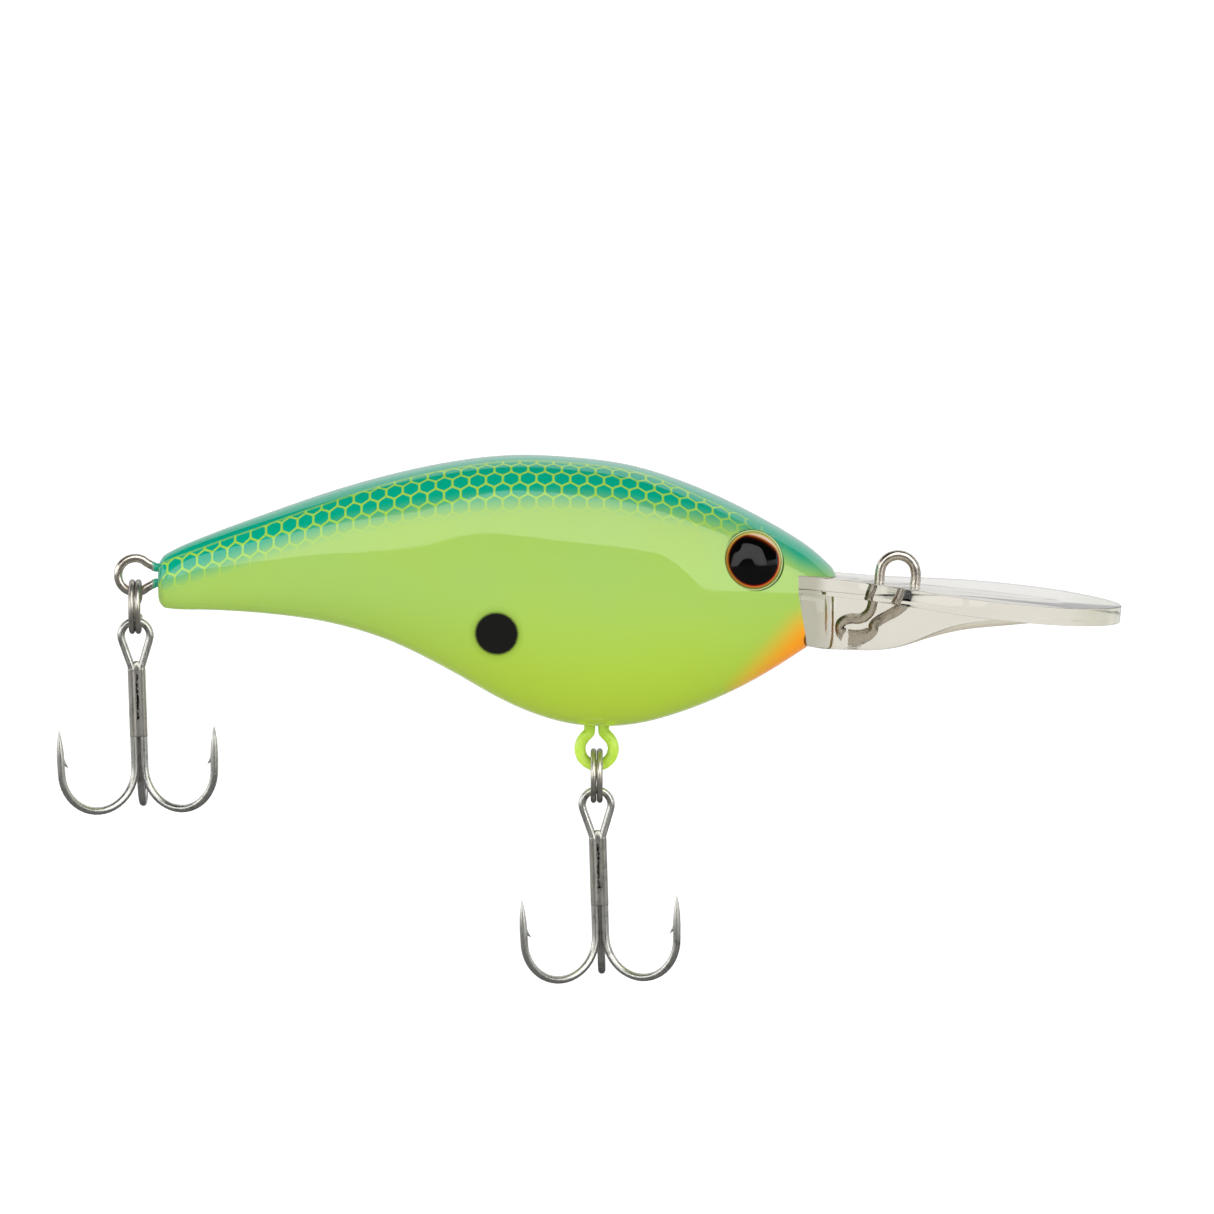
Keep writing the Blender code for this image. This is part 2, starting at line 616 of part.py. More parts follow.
def main():
    clear_scene()
    paint = finish("shell_paint", (0.42, 0.64, 0.13), 0.2, 0.0)
    hanger_paint = finish("hanger_paint", (0.46, 0.62, 0.1), 0.25, 0.0)
    clear = finish("clear_plastic", (0.8, 0.82, 0.78), 0.08, 0.0, 0.35)
    stainless = finish("stainless_wire", (0.42, 0.4, 0.37), 0.22, 1.0)
    nickel = finish("ring_nickel", (0.62, 0.6, 0.55), 0.2, 1.0)
    hook_metal = finish("hook_black_nickel", (0.2, 0.2, 0.19), 0.28, 1.0)
    solder = finish("hook_braze", (0.24, 0.23, 0.21), 0.35, 1.0)
    foil = finish("eye_foil", (0.5, 0.12, 0.04), 0.3, 0.4)
    resin = finish("eye_resin", (0.9, 0.9, 0.9), 0.05, 0.0, 0.3)
    steel = finish("ball_steel", (0.55, 0.55, 0.56), 0.15, 1.0)

    tie = tie_strands()
    belly = hanger_strands(BELLY_LOOP, BELLY_LOOP_RADIUS, (BELLY_LOOP[0], BELLY_POST_Z), NECK["belly"])
    tail = hanger_strands(TAIL_LOOP, TAIL_LOOP_RADIUS, (TAIL_POST_X, TAIL_LOOP[1]), NECK["tail"])
    wire("line_tie", join_strands(*tie), TIE_WIRE, stainless)
    wire("belly_hanger", join_strands(*belly), BELLY_WIRE, hanger_paint)
    wire("tail_hanger", join_strands(*tail), TAIL_WIRE, stainless)

    channels = wire_channels("belly", belly, BELLY_WIRE) + wire_channels("tail", tail, TAIL_WIRE)
    recesses = {side: eye_recess(side) for side in (-1, 1)}
    make_shells(paint, [cavity(), *ball_pockets(), *lip_seat(), *channels], recesses)
    make_lip(clear, wire_channels("tie", tie, TIE_WIRE))
    for side in (-1, 1):
        make_eye(side, foil, resin)
    make_balls(steel)
    hang_tackle("belly", BELLY_LOOP, BELLY_LOOP_RADIUS, nickel, hook_metal, solder)
    hang_tackle("tail", TAIL_LOOP, TAIL_LOOP_RADIUS, nickel, hook_metal, solder)


main()
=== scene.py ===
"""The looks of a deep-diving crankbait: painted half bodies, a clear lip, glued eyes, bent wires, split rings
and treble hooks, each made by hand-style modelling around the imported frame.

Design values are in millimetres from the centre of the line tie's eye, and MM turns them into metres.
+X is the nose, +Y the left flank and +Z the back.
"""

import json
import math

import bpy
import numpy as np
from mathutils import Matrix, Vector


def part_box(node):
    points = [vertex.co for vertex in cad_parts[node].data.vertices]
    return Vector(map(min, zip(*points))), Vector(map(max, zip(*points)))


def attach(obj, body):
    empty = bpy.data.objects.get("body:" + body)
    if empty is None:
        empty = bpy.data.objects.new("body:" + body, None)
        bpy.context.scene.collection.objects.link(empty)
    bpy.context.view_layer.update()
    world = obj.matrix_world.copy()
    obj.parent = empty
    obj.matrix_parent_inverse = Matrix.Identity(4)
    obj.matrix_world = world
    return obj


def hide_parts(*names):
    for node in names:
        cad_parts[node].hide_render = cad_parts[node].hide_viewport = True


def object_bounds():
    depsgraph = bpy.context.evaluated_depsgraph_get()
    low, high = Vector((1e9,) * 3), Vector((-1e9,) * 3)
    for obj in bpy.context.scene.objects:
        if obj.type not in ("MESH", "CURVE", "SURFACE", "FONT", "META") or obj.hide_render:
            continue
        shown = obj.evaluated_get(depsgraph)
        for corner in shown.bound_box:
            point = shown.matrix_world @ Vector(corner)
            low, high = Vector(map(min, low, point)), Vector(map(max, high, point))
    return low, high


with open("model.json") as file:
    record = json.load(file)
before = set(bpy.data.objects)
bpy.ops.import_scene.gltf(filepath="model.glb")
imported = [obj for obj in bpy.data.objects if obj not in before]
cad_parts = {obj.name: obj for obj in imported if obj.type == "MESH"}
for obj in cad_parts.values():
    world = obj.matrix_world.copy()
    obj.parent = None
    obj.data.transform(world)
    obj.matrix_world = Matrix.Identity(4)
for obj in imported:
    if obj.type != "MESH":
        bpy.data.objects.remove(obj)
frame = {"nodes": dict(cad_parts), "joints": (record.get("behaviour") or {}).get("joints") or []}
CAD_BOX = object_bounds()

MM = 0.001
CAD = frame["nodes"]
JOINTS = {joint["name"]: joint for joint in frame["joints"]}

# Body: x, back, belly and half width.
FORM = (
    (-77.15, 0.85, -2.85, 1.3),
    (-76.4, 1.98, -3.7, 2.2),
    (-71.7, 4.07, -3.86, 3.1),
    (-65.5, 6.36, -4.28, 4.3),
    (-59.2, 8.55, -5.21, 5.6),
    (-53.0, 10.33, -7.09, 6.9),
    (-46.7, 11.68, -10.22, 8.1),
    (-40.4, 12.41, -13.77, 9.0),
    (-34.2, 12.2, -15.85, 9.5),
    (-27.9, 11.37, -15.96, 9.5),
    (-21.7, 9.39, -14.29, 8.9),
    (-15.4, 6.47, -11.47, 7.3),
    (-9.4, 2.92, -7.72, 5.0),
    (-6.2, 0.0, -5.3, 3.4),
)
FORM_POWER, FORM_LEVEL = 2.3, 0.52
FORM_SIDES, FORM_RINGS_PER_SPAN = 32, 3
SEAM_HALF_GAP = 0.015

# Lip
BLADE_SLOPE, BLADE_TOP = -0.103, -0.93
BLADE_THICK, BLADE_RIM = 1.83, 0.8
BLADE_PLAN = (
    (-10.4, 4.5), (-6.5, 4.7), (-2.0, 5.8), (2.3, 8.5), (6.0, 11.1), (9.5, 12.25), (12.5, 12.42),
    (16.0, 11.6), (19.2, 9.2), (21.6, 6.0), (22.8, 3.2), (23.3, 1.2),
)
STEM = (  # x, drop below the blade's top, bottom, half width
    (-10.4, 0.5, -7.55, 4.3),
    (-7.9, 0.6, -7.85, 4.15),
    (-7.1, 0.6, -7.95, 3.3),
    (-5.0, 0.6, -8.0, 3.1),
    (-2.5, 0.6, -8.05, 2.8),
    (0.2, 0.6, -7.7, 2.7),
    (3.4, 0.6, -6.7, 2.6),
    (6.5, 0.7, -5.95, 2.4),
    (9.5, 0.8, -5.6, 2.0),
    (12.0, 0.8, -5.4, 1.6),
    (14.5, 0.8, -5.15, 1.3),
    (16.5, 0.8, -4.8, 1.0),
)
STEM_POWER, STEM_LEAN = 3.2, -0.14
SEAT_X, SEAT_LEAN, SEAT_GAP = -10.45, -0.17, 0.04
POST_MARK, POST_MARK_DEPTH, POST_MARK_RISE = (1.15, 0.82), 2.68, 0.12
TOOL_LONG = 4.0

# Wires
TIE_EYE, TIE_WIRE = 1.87, 0.53
TIE_POST, TIE_POST_LOOP, TIE_POST_FLAT = (-4.4, -5.55), 1.85, 0.47
TIE_ENDS = (226, 244)
TIE_AFT_LEG = ((-3.05, -4.05), (-2.7, -3.2), (-2.45, -2.2), (-1.97, -1.1))
TIE_FORE_LEG = ((-2.05, -4.9), (-1.2, -4.45), (-0.2, -3.95), (0.8, -3.15), (1.5, -2.1), (1.82, -1.0))
HANGER = {  # loop radius, wire radius, where the neck starts, half of the neck
    "belly": (1.74, 0.6, 1.95, 0.74),
    "tail": (1.79, 0.45, 2.25, 0.8),
}
SHOULDER_DROP = (-0.35, 0.14)
HANGER_POST_LOOP, POST_LEAD = 1.45, 0.25
BELLY_POST_Z, TAIL_POST_X = -12.9, -73.3

RING_RADIUS, RING_WIRE, RING_COIL = 2.56, 0.31, 0.325
RING_START, RING_TURN, RING_JOG, RING_JOG_HALF = 25.0, 670.0, 360.0, 18.0
RING_DROP = {"belly": 1.09, "tail": 1.51}

HOOK_WIRE, HOOK_EYE, HOOK_EYE_LEAVES = 0.4, 1.51, 20.0
SHANK_OFFSET, SHANK_TOP, SHANK_END = 0.58, -3.3, -13.73
BEND, POINT_Z, POINT_LEAN = 4.3, -9.15, 0.15
POINT_TAPER = ((-12.3, 1.0), (-11.2, 0.86), (-10.4, 0.62), (-9.75, 0.36), (POINT_Z, 0.04))
BARB_FOOT, BARB_TIP, BARB_REACH, BARB_SINK, BARB_HALF = (-11.6, -12.8), -13.3, 0.95, 0.1, 0.2
DOUBLE_HEADINGS, SINGLE_HEADING = (330, 210), 90
HOOK_LEAN = math.radians(-1.7)
BRAZE_TOP, BRAZE_END, BRAZE_CORE, BRAZE_FILM = -3.4, -10.6, 0.64, 0.03
BRAZE_WEB, BRAZE_GRAIN = (0.62, 0.36, 0.72), 0.07
# Where the braze's painted groove shade runs, up and down the shank.
GROOVE_MIDDLE, GROOVE_HALF = -6.4, 2.3

# Eyes
EYE_YAW, EYE_PITCH = 14.0, 14.0
EYE_RADIUS, LENS_RADIUS, SOCKET_RADIUS, SOCKET_LONG = 3.2, 3.24, 3.3, 4.0
FOIL_THICK, FOIL_EDGE, FOIL_CROWN = 0.3, 0.12, 0.01
DOME_SINK, DOME_WALL, DOME_RISE, DOME_STEPS, DOME_TIP = 0.03, 0.2, 1.42, 14, 0.03

# Paint
NET_PITCH, NET_ROW, HEX_ROW = 1.75, 1.52, 0.8660254
NET_START, NET_STRETCH, NET_SQUEEZE, NET_DIP = -35.0, 33.0, 0.0286, 0.62
SPRAY_EDGE = (  # x and height at which the teal has faded by half
    (-77.2, -1.5), (-70.0, 0.9), (-62.3, 3.5), (-57.3, 5.1), (-50.0, 6.6), (-43.6, 7.4), (-37.0, 7.9),
    (-31.0, 7.7), (-26.9, 7.0), (-21.7, 6.0), (-16.4, 4.6), (-11.8, 1.9), (-10.3, 0.8), (-6.0, -0.6),
)
SPRAY_FADE = (-1.105, 1.87)  # below and above that edge
NET_TOP = (  # x, and how far below the ridge the net stops
    (-77.2, 0.6), (-73.8, 0.9), (-66.9, 1.0), (-59.4, 0.9), (-52.9, 0.68), (-43.9, 0.5), (-35.3, 0.42),
    (-25.7, 0.42), (-20.6, 0.7), (-14.5, 0.65), (-12.0, 1.1), (-6.0, 1.3),
)
CHIN, CHIN_TAPER = ((-9.0, -7.2), (-15.5, -12.2)), 1.6
SPOT = (-41.75, -5.6, 2.2)  # x, z and radius


def srgb(red, green, blue):
    """A colour given as a paint chart does, 0 to 255, for a shader socket."""
    def linear(c):
        c /= 255
        return c / 12.92 if c <= 0.04045 else ((c + 0.055) / 1.055) ** 2.4
    return (linear(red), linear(green), linear(blue), 1.0)


# ---- modelling helpers ----

def take(obj):
    """Makes an object the only one picked."""
    if bpy.context.object and bpy.context.object.mode == "EDIT":
        bpy.ops.object.mode_set(mode="OBJECT")
    bpy.ops.object.select_all(action="DESELECT")
    obj.select_set(True)
    bpy.context.view_layer.objects.active = obj


def start(primitive, name, **settings):
    """Adds a primitive with nothing else picked, and settles its place into its mesh."""
    bpy.ops.object.select_all(action="DESELECT")
    primitive(**settings)
    obj = bpy.context.object
    obj.name = obj.data.name = name
    bpy.ops.object.transform_apply(location=True, rotation=True, scale=True)
    return obj


def edit(obj, pick="SELECT"):
    take(obj)
    bpy.ops.object.mode_set(mode="EDIT")
    bpy.ops.mesh.select_all(action=pick)


def leave_edit():
    bpy.ops.object.mode_set(mode="OBJECT")


def modify(obj, kind, **settings):
    """Adds a modifier and applies it."""
    take(obj)
    modifier = obj.modifiers.new(kind.lower(), kind)
    for key, value in settings.items():
        setattr(modifier, key, value)
    bpy.ops.object.modifier_apply(modifier=modifier.name)


def carve(obj, operation, *tools):
    """Cuts by or joins closed tools, which are used up."""
    for tool in tools:
        modify(obj, "BOOLEAN", operation=operation, object=tool)
        bpy.data.objects.remove(tool)


def twin(obj, name):
    copy = obj.copy()
    copy.data = obj.data.copy()
    copy.name = copy.data.name = name
    bpy.context.scene.collection.objects.link(copy)
    return copy


def place_by(obj, matrix):
    obj.data.transform(matrix)
    obj.data.update()
    return obj


def settle(obj, material, body, slot, *nodes, angle=32):
    """Welds, turns the faces out, smooths, paints and hangs a finished piece on its body."""
    edit(obj)
    bpy.ops.mesh.remove_doubles(threshold=1e-6)
    bpy.ops.mesh.normals_make_consistent(inside=False)
    leave_edit()
    bpy.ops.object.shade_smooth_by_angle(angle=math.radians(angle))
    obj.data.materials.clear()
    obj.data.materials.append(material)
    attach(obj, body)
    if nodes:
        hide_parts(*nodes)
    return obj


def push_out(obj, way):
    """Draws a flat outline out into a closed solid."""
    edit(obj)
    bpy.ops.mesh.extrude_region_move(TRANSFORM_OT_translate={"value": way})
    bpy.ops.mesh.select_all(action="SELECT")
    bpy.ops.mesh.normals_make_consistent(inside=False)
    leave_edit()
    return obj


def places_of(obj):
    """Where a mesh's points lie, in millimetres, as three arrays."""
    place = np.empty(len(obj.data.vertices) * 3, np.float32)
    obj.data.vertices.foreach_get("co", place)
    return place.reshape(-1, 3).astype(float).T / MM


def lay_values(obj, label, values):
    """Keeps one length for each point, in metres, for a material to read."""
    layer = obj.data.attributes.new(label, "FLOAT", "POINT")
    layer.data.foreach_set("value", (values * MM).astype(np.float32))


def lay_map(obj, label, across, up):
    """Keeps a flat map of the points for a material to read."""
    corner = np.empty(len(obj.data.loops), np.int32)
    obj.data.loops.foreach_get("vertex_index", corner)
    flat = np.stack([across[corner], up[corner]], 1).astype(np.float32)
    obj.data.uv_layers.new(name=label).data.foreach_set("uv", flat.ravel())


def turn_picked(rotation, centre):
    """Turns what is picked. Each angle is negative because turning without a window runs backwards."""
    for axis, angle in zip("XYZ", rotation.to_euler("XYZ")):
        if abs(angle) > 1e-7:
            bpy.ops.transform.rotate(value=-angle, orient_axis=axis, center_override=centre)


def table_at(table, x):
    """The values of a table's row at x, on a smooth curve through its rows."""
    last = len(table) - 1
    i = max(k for k in range(last) if table[k][0] <= x or k == 0)
    here, there = table[i], table[i + 1]
    before, after = table[max(i - 1, 0)], table[min(i + 2, last)]
    span = there[0] - here[0]
    t = (x - here[0]) / span
    row = []
    for k in range(1, len(here)):
        slope_in = (there[k] - before[k]) / (there[0] - before[0]) * span
        slope_out = (after[k] - here[k]) / (after[0] - here[0]) * span
        row.append(here[k] * (2 * t**3 - 3 * t**2 + 1) + slope_in * (t**3 - 2 * t**2 + t)
                   + there[k] * (3 * t**2 - 2 * t**3) + slope_out * (t**3 - t**2))
    return row


def stations(table, per_span):
    places = []
    for here, there in zip(table, table[1:]):
        places += [here[0] + (there[0] - here[0]) * i / per_span for i in range(per_span)]
    return [*places, table[-1][0]]


def draw_out(name, rings, power, level, sides, lean=0.0):
    """A closed form drawn out along X ring by ring. A ring is x, top, bottom and half width; its widest
    level is a share of its height from the bottom, and a power above 2 squares it."""
    x, top, bottom, half = rings[0]
    obj = start(bpy.ops.mesh.primitive_circle_add, name, vertices=sides, radius=MM, fill_type="NGON",
                location=(x * MM, 0, 0), rotation=(math.pi / 2, 0, math.pi / 2))
    middle = bottom + level * (top - bottom)
    for vertex in obj.data.vertices:
        angle = math.atan2(vertex.co.z, vertex.co.y)
        across, up = math.cos(angle), math.sin(angle)
        height = (top - middle) if up > 0 else (middle - bottom)
        vertex.co.y = MM * half * math.copysign(abs(across) ** (2 / power), across)
        vertex.co.z = MM * (middle + height * math.copysign(abs(up) ** (2 / power), up))
    edit(obj)
    tilt = 0.0
    if lean:
        tilt = turn_ring(lean, 0.0, (x * MM, 0, middle * MM))
    for following in rings[1:]:
        new_x, new_top, new_bottom, new_half = following
        new_middle = new_bottom + level * (new_top - new_bottom)
        step = ((new_x - x) * MM, 0, (new_middle - middle) * MM)
        centre = (new_x * MM, 0, new_middle * MM)
        bpy.ops.mesh.extrude_region_move(TRANSFORM_OT_translate={"value": step})
        stretch = (new_top - new_bottom) / (top - bottom)
        growth = (1 if not tilt else stretch, new_half / half, stretch)
        bpy.ops.transform.resize(value=growth, center_override=centre)
        if lean:
            fade = max(0.0, (rings[3][0] - new_x) / (rings[3][0] - rings[0][0]))
            tilt = turn_ring(lean * fade, tilt, centre)
        x, top, bottom, half, middle = new_x, new_top, new_bottom, new_half, new_middle
    bpy.ops.mesh.select_all(action="SELECT")
    bpy.ops.mesh.normals_make_consistent(inside=False)
    leave_edit()
    return obj


def turn_ring(lean, tilt, centre):
    """Leans the picked ring about Y from one tilt to another, and gives the new tilt."""
    wanted = math.atan(lean)
    turn_picked(Matrix.Rotation(wanted - tilt, 3, "Y"), centre)
    return wanted


def draw_wire(name, path, radius, shares=None, sides=16):
    """A round wire formed along a path in millimetres: a disc drawn out from point to point."""
    points = [Vector(p) * MM for p in path]
    shares = shares or [1.0] * len(points)
    heading = (points[1] - points[0]).normalized()
    turn = Vector((0, 0, 1)).rotation_difference(heading)
    obj = start(bpy.ops.mesh.primitive_circle_add, name, vertices=sides, radius=radius * MM * shares[0],
                fill_type="NGON", location=points[0], rotation=turn.to_euler("XYZ"))
    edit(obj)
    for i in range(1, len(points)):
        bpy.ops.mesh.extrude_region_move(TRANSFORM_OT_translate={"value": points[i] - points[i - 1]})
        along = (points[i] - points[i - 1]).normalized()
        if i + 1 < len(points):
            along = (along + (points[i + 1] - points[i]).normalized()).normalized()
        turn_picked(heading.rotation_difference(along), points[i])
        heading = along
        if shares[i] != shares[i - 1]:
            change = shares[i] / shares[i - 1]
            bpy.ops.transform.resize(value=(change, change, change), center_override=points[i])
    leave_edit()
    return obj


def arc(centre, radius, start_angle, end_angle, step):
    """Points of an arc in the XZ plane. Angles are degrees from +X towards +Z."""
    count = max(2, round(abs(end_angle - start_angle) / step))
    turns = [math.radians(start_angle + (end_angle - start_angle) * i / count) for i in range(count + 1)]
    return [Vector((centre[0] + radius * math.cos(a), 0, centre[1] + radius * math.sin(a))) for a in turns]


def eased(points, per_span):
    """A smooth curve through the points."""
    padded = [2 * points[0] - points[1], *points, 2 * points[-1] - points[-2]]
    curve = []
    for a, b, c, d in zip(padded, padded[1:], padded[2:], padded[3:]):
        for i in range(per_span):
            t = i / per_span
            curve.append(0.5 * (2 * b + (c - a) * t + (2 * a - 5 * b + 4 * c - d) * t**2
                                + (3 * b - a - 3 * c + d) * t**3))
    return [*curve, points[-1]]


# ---- shader helpers ----

MIX_SOCKETS = {"FLOAT": (2, 3, 0), "VECTOR": (4, 5, 1), "RGBA": (6, 7, 2)}  # first, second and result


def link(tree, feed, socket):
    """Feeds a socket from another socket or with a plain value."""
    if isinstance(feed, bpy.types.NodeSocket):
        tree.links.new(feed, socket)
    elif feed is not None:
        socket.default_value = feed


def put(tree, kind, *feeds, **settings):
    """A node with its settings, fed in the order of its inputs."""
    node = tree.nodes.new("ShaderNode" + kind)
    for key, value in settings.items():
        setattr(node, key, value)
    for socket, feed in zip(node.inputs, feeds):
        link(tree, feed, socket)
    return node


def sums(tree, operation, *feeds):
    return put(tree, "Math", *feeds, operation=operation).outputs[0]


def times(tree, first, second):
    return sums(tree, "MULTIPLY", first, second)


def plus(tree, first, second):
    return sums(tree, "ADD", first, second)


def vectors(tree, operation, *feeds):
    node = put(tree, "VectorMath", *feeds, operation=operation)
    return node.outputs["Value" if operation in {"DOT_PRODUCT", "LENGTH"} else "Vector"]


def ramp(tree, value, low, high, to_low=0.0, to_high=1.0):
    """A soft step from one value to another."""
    node = put(tree, "MapRange", value, low, high, to_low, to_high, interpolation_type="SMOOTHSTEP")
    return node.outputs[0]


def within(tree, value, low, high, soft):
    """One between two limits and none outside, with soft edges."""
    rise = ramp(tree, sums(tree, "SUBTRACT", value, low), 0.0, soft)
    return times(tree, rise, ramp(tree, sums(tree, "SUBTRACT", high, value), 0.0, soft))


def mix(tree, kind, share, first, second):
    """Goes from the first value, vector or colour to the second as the share grows from 0 to 1."""
    node = put(tree, "Mix", share, data_type=kind)
    from_socket, to_socket, made = MIX_SOCKETS[kind]
    link(tree, first, node.inputs[from_socket])
    link(tree, second, node.inputs[to_socket])
    return node.outputs[made]


def coat(tree, base, colour, share):
    """Lays a colour over another."""
    return mix(tree, "RGBA", share, base, colour)


def noise(tree, place, size, detail, rough):
    return put(tree, "TexNoise", place, None, size, detail, rough).outputs[0]


def object_place(tree):
    return put(tree, "TexCoord").outputs["Object"]


def split(tree, place):
    return put(tree, "SeparateXYZ", place).outputs


def attribute(tree, label):
    return put(tree, "Attribute", attribute_name=label).outputs["Fac"]


def bump(tree, strength, distance, height, normal=None):
    node = put(tree, "Bump", strength, distance)
    link(tree, height, node.inputs["Height"])
    link(tree, normal, node.inputs["Normal"])
    return node.outputs[0]


def new_group(name, inputs, outputs):
    """An empty node group with named sockets: inputs are name, kind and default."""
    tree = bpy.data.node_groups.new(name, "ShaderNodeTree")
    for label, kind, value in inputs:
        socket = tree.interface.new_socket(label, in_out="INPUT", socket_type="NodeSocket" + kind)
        if value is not None:
            socket.default_value = value
    for label, kind in outputs:
        tree.interface.new_socket(label, in_out="OUTPUT", socket_type="NodeSocket" + kind)
    return tree, tree.nodes.new("NodeGroupInput").outputs, tree.nodes.new("NodeGroupOutput").inputs


def use_group(tree, group, **feeds):
    node = tree.nodes.new("ShaderNodeGroup")
    node.node_tree = group
    for label, feed in feeds.items():
        link(tree, feed, node.inputs[label.replace("_", " ")])
    return node.outputs


# ---- shared effects ----

def scale_net_group():
    """A net of upright hexagons with rounded knots, one unit wide, and HEX_ROW from row to row."""
    tree, given, made = new_group(
        "scale_net",
        [("Place", "Vector", None), ("Line", "Float", 0.06), ("Soft", "Float", 0.03)],
        [("Net", "Float")],
    )
    half, back, flat, knot = (0.5, HEX_ROW, 0.5), (-0.5, -HEX_ROW, -0.5), (1.0, 1.0, 0.0), 0.17
    moved = vectors(tree, "SUBTRACT", given["Place"], (0.5, HEX_ROW, 0.0))
    first, second = (vectors(tree, "MULTIPLY", vectors(tree, "WRAP", place, half, back), flat)
                     for place in (given["Place"], moved))
    nearer = sums(tree, "LESS_THAN", vectors(tree, "LENGTH", first), vectors(tree, "LENGTH", second))
    cell = vectors(tree, "ABSOLUTE", mix(tree, "VECTOR", nearer, second, first))
    slanted = vectors(tree, "DOT_PRODUCT", cell, (0.5, HEX_ROW, 0.0))
    edge = sums(tree, "SUBTRACT", 0.5, sums(tree, "SMOOTH_MAX", split(tree, cell)[0], slanted, knot))
    outer = plus(tree, given["Line"], given["Soft"])
    link(tree, ramp(tree, edge, given["Line"], outer, 1.0, 0.0), made["Net"])
    return tree


def airbrush_group():
    """An airbrushed edge: a soft step with a fine speckle where it thins out."""
    tree, given, made = new_group(
        "airbrush_edge",
        [("Value", "Float", 0.0), ("Low", "Float", 0.0), ("High", "Float", 1.0),
         ("Speckle", "Float", 0.1), ("Grain", "Float", 9000.0)],
        [("Mask", "Float")],
    )
    grain = noise(tree, object_place(tree), given["Grain"], 2.0, 0.6)
    shift = times(tree, sums(tree, "SUBTRACT", grain, 0.5), given["Speckle"])
    spread = sums(tree, "SUBTRACT", given["High"], given["Low"])
    moved = plus(tree, given["Value"], times(tree, shift, spread))
    link(tree, ramp(tree, moved, given["Low"], given["High"]), made["Mask"])
    return tree


def gloss_group():
    """The skin of a sprayed or moulded gloss: a long ripple, smears and a few dust specks."""
    tree, given, made = new_group(
        "gloss_skin",
        [("Ripple Size", "Float", 500.0), ("Ripple", "Float", 0.1), ("Rough", "Float", 0.06)],
        [("Rough", "Float"), ("Normal", "Vector")],
    )
    place = object_place(tree)
    wave = noise(tree, place, given["Ripple Size"], 2.0, 0.5)
    specks = ramp(tree, noise(tree, place, 5200.0, 1.0, 0.5), 0.74, 0.8)
    height = plus(tree, wave, times(tree, specks, 0.6))
    smear = noise(tree, place, 260.0, 4.0, 0.65)
    rough = plus(tree, given["Rough"], times(tree, ramp(tree, smear, 0.45, 0.75), 0.05))
    link(tree, plus(tree, rough, times(tree, specks, 0.1)), made["Rough"])
    link(tree, bump(tree, given["Ripple"], 0.00004, height), made["Normal"])
    return tree


def metal_group():
    """Plated or drawn metal: streaks along the draw, stains, and pits."""
    tree, given, made = new_group(
        "plated_metal",
        [("Colour", "Color", (0.5, 0.5, 0.5, 1)), ("Stain", "Color", (0.2, 0.2, 0.2, 1)),
         ("Streak Size", "Vector", (2500.0, 2500.0, 300.0)), ("Pits", "Float", 0.3), ("Rough", "Float", 0.2)],
        [("Colour", "Color"), ("Rough", "Float"), ("Normal", "Vector")],
    )
    place = object_place(tree)
    streak = noise(tree, vectors(tree, "MULTIPLY", place, given["Streak Size"]), 1.0, 3.0, 0.6)
    patch = ramp(tree, noise(tree, place, 700.0, 4.0, 0.6), 0.52, 0.72, 0.0, 0.6)
    pitted = ramp(tree, noise(tree, place, 4200.0, 2.0, 0.5), 0.62, 0.72)
    depth = times(tree, pitted, given["Pits"])
    stained = sums(tree, "MAXIMUM", patch, depth)
    link(tree, coat(tree, given["Colour"], given["Stain"], stained), made["Colour"])
    rough = plus(tree, given["Rough"], times(tree, ramp(tree, streak, 0.35, 0.75), 0.12))
    link(tree, plus(tree, rough, times(tree, pitted, 0.15)), made["Rough"])
    height = sums(tree, "SUBTRACT", times(tree, streak, 0.35), depth)
    link(tree, bump(tree, 0.5, 0.00003, height), made["Normal"])
    return tree


SCALE_NET = scale_net_group()
AIRBRUSH = airbrush_group()
GLOSS = gloss_group()
METAL = metal_group()


# ---- materials ----

BACK_TEAL, NET_LIME = srgb(0, 156, 124), srgb(150, 196, 74)
FLANK_GREEN, BELLY_GREEN, CHIN_ORANGE = srgb(151, 186, 91), srgb(160, 188, 54), srgb(240, 146, 10)


def new_material(name, **constants):
    """A material with its Principled shader's plain values set on its own sockets."""
    material = bpy.data.materials.new(name)
    material.use_nodes = True
    shader = material.node_tree.nodes["Principled BSDF"]
    for label, value in constants.items():
        shader.inputs[label.replace("_", " ")].default_value = value
    return material, material.node_tree, shader.inputs


def dress(tree, made, shader):
    """Gives the shader a shared effect's roughness and normal."""
    link(tree, made["Rough"], shader["Roughness"])
    link(tree, made["Normal"], shader["Normal"])


def body_paint():
    """Chartreuse flanks, a teal scaled back, an orange chin and a black spot under clear coat."""
    material, tree, shader = new_material("chartreuse_teal_paint", IOR=1.5)
    place = object_place(tree)
    x, _, z = split(tree, place)
    flank = coat(tree, BELLY_GREEN, FLANK_GREEN, ramp(tree, z, -0.014, 0.002))
    cloud = ramp(tree, noise(tree, place, 90.0, 2.0, 0.5), 0.35, 0.75, 0.0, 0.25)
    flank = coat(tree, flank, BELLY_GREEN, cloud)
    chin = use_group(tree, AIRBRUSH, Value=attribute(tree, "from_chin"), Low=0.0050, High=0.0006, Speckle=0.12)
    flank = coat(tree, flank, CHIN_ORANGE, chin[0])
    painted = spot_paint(tree, net_paint(tree, flank, x), x, z)
    link(tree, painted, shader["Base Color"])
    dress(tree, use_group(tree, GLOSS, Ripple_Size=420.0, Ripple=0.05, Rough=0.045), shader)
    return material


